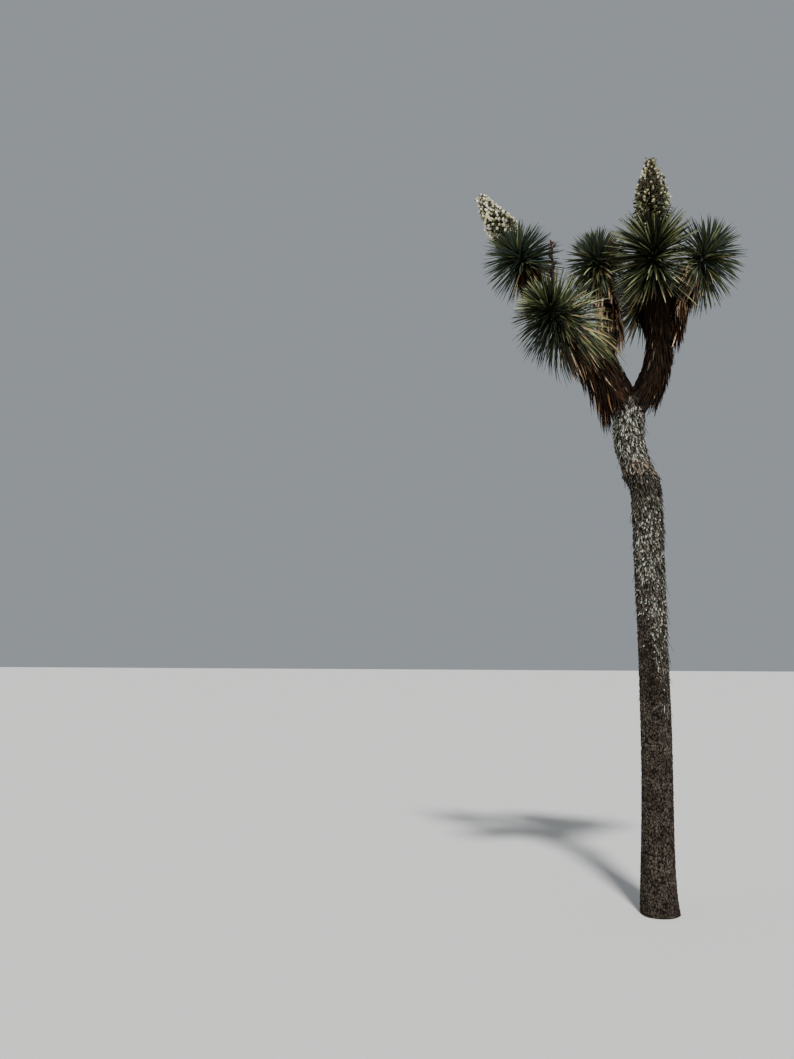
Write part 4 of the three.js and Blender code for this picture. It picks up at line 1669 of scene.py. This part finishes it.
@dataclass
class DeadSkirt:
    """One skirt of dead leaves, packed and hanging round its limb.

    They lift off the limb by that many degrees on average, and fall towards the ground, most of all on its
    underside. On its upper side the shelter is the share by which they are shorter and flatter.
    """

    tree: Tree
    skirt: Skirt
    pack_to: float = 0.99
    lift: float = 13.0
    fall: float = 0.62
    least_fall: float = 0.12
    shelter: float = 0.6
    sag: float = 0.2
    rooted: float = 0.006
    rings: int = 60
    sides: int = 40
    mat_lumps: float = 0.006

    def build(self) -> None:
        """The hanging leaves as one piece, which stands for the node, and the mat under them as another."""
        leaves = blades(self.growth(), DEAD_BLADE, inner_start=len(DEAD_OUTER))
        finishes = [*DEAD_OUTER, *DEAD_SHADED]
        piece(f"dead_{self.skirt.name}", leaves, finishes, (self.skirt.name,))
        piece(f"mat_{self.skirt.name}", self.mat(), [DEAD_MAT_SHADE])

    def growth(self) -> Growth:
        """Leaves up the limb by the golden angle: each stands off it a little, points back down it and sags.

        On the limb's upper side they are short and pressed down, and on its underside they hang free.

        Returns:
            The leaves.
        """
        skirt = self.skirt
        path, thickness = self.route()
        rng = draws(skirt.turn, 7)
        count = np.arange(skirt.leaves)
        start = skirt.start * self.tree.paths[skirt.limb].length / path.length
        share = mix(start, 1, (count + 0.5) / skirt.leaves)
        tangent = path.along(share)
        out = out_from(tangent, count * GOLDEN_TURN + skirt.turn)
        under = np.maximum(0, -out[:, 2])
        free = 1 - self.shelter * smooth(out[:, 2], -0.1, 0.35)
        lift = np.radians(self.lift) * free * rng.uniform(0.5, 1.5, skirt.leaves)
        along = out * np.sin(lift)[:, None] - tangent * np.cos(lift)[:, None]
        along = unit(along - UP * (self.fall * under + self.least_fall)[:, None])
        layer = rng.uniform(0.35, 1.05, skirt.leaves)
        radius = np.interp(share, path.shares, thickness) + skirt.pack * layer
        radius *= 1 + skirt.belly * under * layer
        lengths = skirt.hang * free * rng.uniform(0.65, 1.12, skirt.leaves)
        across = np.cross(along, out)
        sag = self.sag * rng.uniform(0.2, 1.2, skirt.leaves) * (0.25 + under)
        return Growth(
            path.at(share) + out * (radius - self.rooted)[:, None],
            along,
            out,
            lengths,
            -UP * (0.5 * sag)[:, None] + across * rng.normal(0, 0.09, skirt.leaves)[:, None],
            rng.normal(0, 0.9, skirt.leaves),
            rng.uniform(0.65, 1.2, skirt.leaves),
            dealt_out(self.shades(share), rng),
        )

    def shades(self, share: Array) -> Array:
        """Weights of the finishes, with painted light at the top of the skirt: more orange, tan and straw
        there.

        Args:
            share: The leaves' places, as shares of the way that they grow along.

        Returns:
            One row of weights for each leaf.
        """
        weights = np.tile(np.array(self.skirt.shades, float), (len(share), 1))
        # Painted light: more orange, tan and straw leaves at the top of the skirt.
        fresh = self.skirt.fresh * smooth(share, 0.82, 0.97)
        for finish, weight in ((ORANGE, 1.0), (TAN, 0.6), (STRAW, 0.8)):
            weights[:, finish] += weight * fresh
        return weights

    def route(self) -> tuple[Path, Array]:
        """The way that the leaves grow along.

        Returns:
            The limb's middle line, carried on up the bare part of the leafy stem, and the radius at the
            points of both.
        """
        limb = self.tree.limbs[self.skirt.limb]
        head = self.tree.heads[limb.head]
        line = self.tree.paths[limb.name]
        share = np.linspace(0.05, head.bare, 8)
        path = Path(np.concatenate([line.points, self.tree.stems[head.name].at(share)]))
        limb_radius = self.tree.limb_radius(limb, line.shares)
        return path, np.concatenate([limb_radius, self.tree.stem_radius(head, share)])

    def mat(self) -> Mesh:
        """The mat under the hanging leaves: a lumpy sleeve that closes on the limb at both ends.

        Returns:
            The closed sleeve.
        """
        skirt = self.skirt
        share = np.linspace(skirt.start, self.pack_to, self.rings)
        middle, out = self.tree.paths[skirt.limb].sleeve(share, self.sides)
        ends = np.sqrt(np.clip(np.sin(np.pi * np.linspace(0, 1, self.rings)) * 4, 0, 1))[:, None]
        limb_radius = self.tree.limb_radius(self.tree.limbs[skirt.limb], share)[:, None]
        radius = limb_radius + 0.002 + skirt.pack * 0.55 * ends
        radius = radius * (1 + 0.75 * skirt.belly * ends * np.maximum(0, -out[..., 2]))
        lumps = self.mat_lumps * lattice_noise(middle + out * 0.08, 0.022, Seed.MAT) * ends
        return rings_to_mesh(middle + out * (radius + lumps)[..., None])


@dataclass
class Flowers:
    """Where the flowers of one panicle stand: one row of each array for each flower.

    The middle is the place on the panicle's axis that a flower stands out from.
    """

    share: Array
    middle: Array
    out: Array
    facing: Array
    seat: Array
    size: Array
    is_deep: Array


@dataclass
class PanicleBlossom:
    """One panicle: a bare stalk, side twigs, flowers of six petals, and dry bracts.

    The flowers lean from the axis by degrees. They stand in an outer and a deep shell, at shares of the
    envelope's radius that noise makes lumpy. A petal sets out sideways by the bulge, and bends inwards by
    the closing and upwards by the rise.
    """

    tree: Tree
    panicle: Panicle
    bare: float = 0.045
    stalk: float = 0.014
    stalk_tip: float = 0.004
    foot_lean: float = 92.0
    tip_lean: float = 24.0
    outer_shell: float = 0.84
    deep_shell: float = 0.55
    lump: float = 0.26
    petals: int = 6
    petal_long: float = 0.038
    inner_petal: float = 0.9
    bulge: float = 0.94
    closing: float = 0.8
    rise: float = 0.45
    bract_shell: float = 0.35
    bracts_above: float = 0.25
    twig_drop: float = 0.03

    def line(self) -> tuple[Array, Array]:
        """The line that the flowers stand round.

        Returns:
            Its start, above the bare stretch of the stalk, and its unit axis.
        """
        head = self.tree.heads[self.panicle.head]
        tip = self.tree.stems[head.name].points[-1]
        return tip + unit(head.axis) * (self.tree.gap + self.bare), unit(self.panicle.axis)

    def envelope(self, share: Array) -> Array:
        """The radius of the panicle: round at the foot, full, then narrowing.

        Args:
            share: Shares of its length.

        Returns:
            The radius at each share.
        """
        panicle = self.panicle
        rounding = np.clip((share + panicle.before) / (panicle.full_from + panicle.before), 0, 1)
        narrowing = mix(1, panicle.tip, smooth(share, panicle.shoulder, panicle.neck))
        return panicle.radius * np.sin(np.pi / 2 * rounding) * narrowing

    def is_clear(self, points: Array) -> Array:
        """Whether blades keep out of the flowers.

        Args:
            points: Places by blade, by share, by coordinate.

        Returns:
            One truth value for each blade: all of its points lie outside three quarters of the envelope.
        """
        start, axis = self.line()
        height = (points - start) @ axis
        away = np.linalg.norm(points - start - height[..., None] * axis, axis=-1)
        share = height / self.panicle.length
        inside = (share > -0.05) & (share < 1) & (away < 0.75 * self.envelope(share))
        return ~inside.any(axis=1)

    def build(self) -> None:
        """The flowers as one piece, which stands for the node, and the twigs and stalk as another."""
        rng = draws(self.panicle.turn, 3)
        flowers = self.flowers(rng)
        petals = blades(self.petal_growth(flowers, rng), PETAL_BLADE, inner_start=len(PETAL_OUTER))
        bracts = blades(self.bract_growth(flowers, rng), BRACT_BLADE)
        wood = Mesh.joined([blades(self.twig_growth(flowers), TWIG_BLADE), self.stalk_mesh()])
        name = self.panicle.name
        finishes = [*PETAL_OUTER, *PETAL_SHADED, BRACT]
        piece(f"flowers_{name}", Mesh.joined([petals, bracts]), finishes, (name,))
        piece(f"twigs_{name}", wood, [FLOWER_STEM], is_smooth=True)

    def flowers(self, rng: np.random.Generator) -> Flowers:
        """Flowers on the envelope by the golden angle, in two shells.

        Those at the foot look out from the axis, and those at the tip look nearly along it.

        Args:
            rng: The panicle's random draws.

        Returns:
            Where the flowers stand.
        """
        panicle = self.panicle
        start, axis = self.line()
        number = panicle.flowers
        count = np.arange(number)
        share = mix(0.03, 0.975, ((count + 0.5) / number) ** 1.05)
        turn = count * GOLDEN_TURN + panicle.turn + rng.normal(0, 0.16, number)
        axes = np.broadcast_to(axis, (number, 3))
        lean = np.radians(mix(self.foot_lean, self.tip_lean, share)) + rng.normal(0, 0.2, number)
        facing = swung(axes, lean, turn + rng.normal(0, 0.3, number))
        middle = start + axis * (share * panicle.length)[:, None]
        is_deep = count % 3 == 0
        shell = np.where(is_deep, self.deep_shell, self.outer_shell) * rng.uniform(0.92, 1.06, number)
        out = out_from(axes, turn)
        shell = shell * (0.94 + self.lump * lattice_noise(middle + 0.1 * out, 0.075, Seed.BLOSSOM))
        size = panicle.size * mix(1.08, 0.78, share) * rng.uniform(0.72, 1.2, number)
        seat = middle + out * (shell * self.envelope(share))[:, None] - facing * (0.016 * size)[:, None]
        return Flowers(share, middle, out, facing, seat, size, is_deep)

    def petal_growth(self, flowers: Flowers, rng: np.random.Generator) -> Growth:
        """Six petals for each flower, three longer and three shorter, that bow out and close in.

        The flowers of the deep shell take the dark finish as painted shade. Some of the others are dull, and
        more of those near the foot.

        Args:
            flowers: Where the flowers stand.
            rng: The panicle's random draws.

        Returns:
            The petals, flower by flower.
        """
        number = len(flowers.share)
        facing = flowers.facing[:, None]
        spread = out_from(facing, full_circle(self.petals) + rng.uniform(0, np.pi, number)[:, None])
        sideways = self.bulge * rng.uniform(0.7, 1.0, number)[:, None, None]
        closing = self.closing * rng.uniform(0.55, 1.05, number)[:, None, None]
        along = facing * np.sqrt(1 - sideways**2) + spread * sideways
        part = np.where(np.arange(self.petals) % 2 == 0, 1.0, self.inner_petal)
        size = flowers.size[:, None]
        lengths = self.petal_long * size * part * rng.uniform(0.92, 1.05, (number, self.petals))
        # Painted shade: the deep shell's flowers all take the dark finish.
        is_dull_or_shaded = flowers.is_deep | (rng.random(number) > smooth(flowers.share, -0.06, 0.24))
        tints = np.where(is_dull_or_shaded, BUD_AND_SHADE, dealt_out(np.tile(self.panicle.shades, (number, 1)), rng))
        return Growth(
            np.repeat(flowers.seat, self.petals, axis=0),
            along.reshape(-1, 3),
            unit(-spread).reshape(-1, 3),
            lengths.ravel(),
            (facing * self.rise - spread * closing).reshape(-1, 3),
            np.zeros(number * self.petals),
            (size * part).ravel(),
            np.repeat(tints, self.petals),
        )

    def bract_growth(self, flowers: Flowers, rng: np.random.Generator) -> Growth:
        """Dry bracts among the twigs: one by each flower near the foot, and by about one in four above.

        Args:
            flowers: Where the flowers stand.
            rng: The panicle's random draws.

        Returns:
            The bracts.
        """
        _, axis = self.line()
        number = len(flowers.share)
        reach = self.bract_shell * self.envelope(flowers.share)
        bracts = Growth(
            flowers.middle + flowers.out * reach[:, None],
            unit(flowers.out + axis * 0.5),
            np.broadcast_to(axis, (number, 3)),
            0.03 + reach,
            -flowers.out * 0.05,
            rng.normal(0, 0.5, number),
            rng.uniform(0.7, 1.3, number),
            np.full(number, 2 * len(PETAL_OUTER)),
        )
        wanted = self.bracts_above + (1 - self.bracts_above) * (flowers.share < 0.14)
        return bracts.kept(rng.random(number) < wanted)

    def twig_growth(self, flowers: Flowers) -> Growth:
        """A twig under each flower, which leaves the stalk and runs out and a little down.

        Args:
            flowers: Where the flowers stand.

        Returns:
            The twigs.
        """
        _, axis = self.line()
        number = len(flowers.share)
        way = flowers.seat - flowers.middle + flowers.facing * 0.004 - axis * self.twig_drop
        along = unit(way)
        return Growth(
            flowers.middle - axis * self.twig_drop,
            along,
            square_to(along)[1],
            np.linalg.norm(way, axis=1) + self.twig_drop,
            np.zeros((number, 3)),
            np.zeros(number),
            np.ones(number),
            np.zeros(number, int),
        )

    def stalk_mesh(self) -> Mesh:
        """The stalk: a curve from the head's tip that bends to the panicle's axis and thins to its tip.

        Returns:
            The closed tube.
        """
        start, axis = self.line()
        length = self.panicle.length
        foot = self.tree.stems[self.panicle.head].points[-1]
        bend = Path.bezier(foot, start, start + axis * length * 0.3).at(np.linspace(0, 1, 12))
        straight = start + axis * (np.linspace(0.34, 0.97, 16) * length)[:, None]
        share = np.linspace(0, 1, 28)
        middle, out = Path(np.concatenate([bend, straight])).sleeve(share, 12)
        return rings_to_mesh(middle + out * mix(self.stalk, self.stalk_tip, share)[:, None, None])


@dataclass
class DryFruitStalk:
    """One dry fruit stalk with its stubby spikes and pods."""

    tree: Tree
    stalk: FruitStalk
    foot: float = 0.011
    tip: float = 0.004
    bow: float = 0.016
    spikes: int = 46
    spikes_from: float = 0.34
    spikes_to: float = 0.98
    spike_long: float = 0.026
    spike_size: float = 0.4
    pod_long: float = 0.042
    pod_size: float = 0.95

    def build(self) -> bpy.types.Object:
        """A bowed stem, and short spikes and pods that stand round its upper two thirds.

        Returns:
            The Blender object.
        """
        stalk = self.stalk
        base = self.tree.paths[stalk.limb].at(stalk.at)
        top = np.array(stalk.tip)
        side, _ = square_to(unit(top - base))
        path = Path.bezier(base, (base + top) / 2 + side * self.bow, top)
        share = np.linspace(0, 1, 40)
        middle, out = path.sleeve(share, 10)
        stem = rings_to_mesh(middle + out * mix(self.foot, self.tip, share)[:, None, None])
        mesh = Mesh.joined([stem, blades(self.growth(path), POD_BLADE)])
        return piece(f"dry_{stalk.name}", mesh, FRUIT, (stalk.name,), is_smooth=True)

    def growth(self, path: Path) -> Growth:
        """Spikes and pods up the stem by the golden angle, with a pod at every third place.

        Args:
            path: The stem's middle line.

        Returns:
            The spikes and the pods.
        """
        rng = draws(self.stalk.turn)
        number = self.spikes
        count = np.arange(number)
        height = mix(self.spikes_from, self.spikes_to, (count + 0.5) / number)
        lean = np.radians(rng.uniform(40, 80, number))
        along = swung(path.along(height), lean, count * GOLDEN_TURN + self.stalk.turn)
        is_pod = count % 3 == 0
        return Growth(
            path.at(height),
            along,
            square_to(along)[1],
            np.where(is_pod, self.pod_long, self.spike_long) * rng.uniform(0.75, 1.1, number),
            np.zeros((number, 3)),
            np.zeros(number),
            np.where(is_pod, self.pod_size, self.spike_size) * rng.uniform(0.85, 1.1, number),
            dealt_out(np.tile([2, 1], (number, 1)), rng),
        )


@dataclass
class Studio:
    """The pale floor, the soft lights and the camera at the photograph's angle."""

    image_height: float = 1059.0
    focal_pixels: float = 1030.0
    sensor: float = 36.0
    eye: Triple = (0.0, -6.5712, 1.6)
    pitch: float = 6.398
    yaw: float = 13.752
    floor_half: float = 60.0
    floor_level: float = -0.001
    sky: Triple = (0.7, 0.76, 0.82)
    sky_strength: float = 0.42

    def build(self) -> None:
        """Make the floor, the lights and the camera."""
        self.floor()
        self.lamp("key", azimuth=17, height=52, strength=5.0, angle=6)
        self.lamp("fill", azimuth=-60, height=25, strength=0.35, angle=40)
        self.surrounding()
        self.camera()

    def floor(self) -> None:
        """A flat square just under ground level."""
        half, level = self.floor_half, self.floor_level
        mesh = bpy.data.meshes.new("floor")
        corners = [(-half, -half, level), (half, -half, level), (half, half, level), (-half, half, level)]
        mesh.from_pydata(corners, [], [(0, 1, 2, 3)])
        mesh.materials.append(Wardrobe.of(FLOOR))
        shown("floor", mesh)

    def lamp(self, name: str, azimuth: float, height: float, strength: float, angle: float) -> None:
        """A soft far light.

        Args:
            name: The lamp's name.
            azimuth: Degrees to the right of the front view's near side.
            height: Degrees above the horizon.
            strength: Power for each square metre.
            angle: How wide the light looks from the tree, in degrees.
        """
        light = bpy.data.lights.new(name, "SUN")
        light.energy = strength
        light.angle = math.radians(angle)
        turn, rise = math.radians(azimuth), math.radians(height)
        level = math.cos(rise)
        towards = Vector((math.sin(turn) * level, -math.cos(turn) * level, math.sin(rise)))
        lamp = shown(name, light)
        lamp.rotation_mode = "QUATERNION"
        lamp.rotation_quaternion = towards.to_track_quat("Z", "Y")

    def surrounding(self) -> None:
        """A pale sky of one colour all round."""
        world = bpy.data.worlds.new("studio")
        world.use_nodes = True
        background = world.node_tree.nodes["Background"]
        background.inputs["Color"].default_value = (*self.sky, 1)
        background.inputs["Strength"].default_value = self.sky_strength
        bpy.context.scene.world = world

    def camera(self) -> None:
        """The photograph's camera: its long side takes the sensor's width."""
        lens = bpy.data.cameras.new("camera")
        lens.sensor_width = self.sensor
        lens.lens = self.focal_pixels / self.image_height * self.sensor
        pitch, yaw = math.radians(self.pitch), math.radians(self.yaw)
        ahead = Vector((-math.sin(yaw) * math.cos(pitch), math.cos(yaw) * math.cos(pitch), math.sin(pitch)))
        camera = shown("camera", lens)
        camera.location = self.eye
        camera.rotation_mode = "QUATERNION"
        camera.rotation_quaternion = ahead.to_track_quat("-Z", "Y")
        bpy.context.scene.camera = camera


def main() -> None:
    """Build the tree's pieces and the studio in order."""
    logging.basicConfig(level=logging.INFO, format="%(name)s %(message)s")
    Studio().build()
    tree = Tree()
    tree.trunk.bark()
    TrunkShag(tree).build()
    for limb in LIMBS:
        LimbBark(tree, limb).build()
    for skirt in SKIRTS:
        DeadSkirt(tree, skirt).build()
    for head in HEADS:
        LeafHead(tree, head).build()
    for panicle in PANICLES:
        PanicleBlossom(tree, panicle).build()
    for stalk in FRUIT_STALKS:
        DryFruitStalk(tree, stalk).build()


if __name__ == "__main__":
    main()
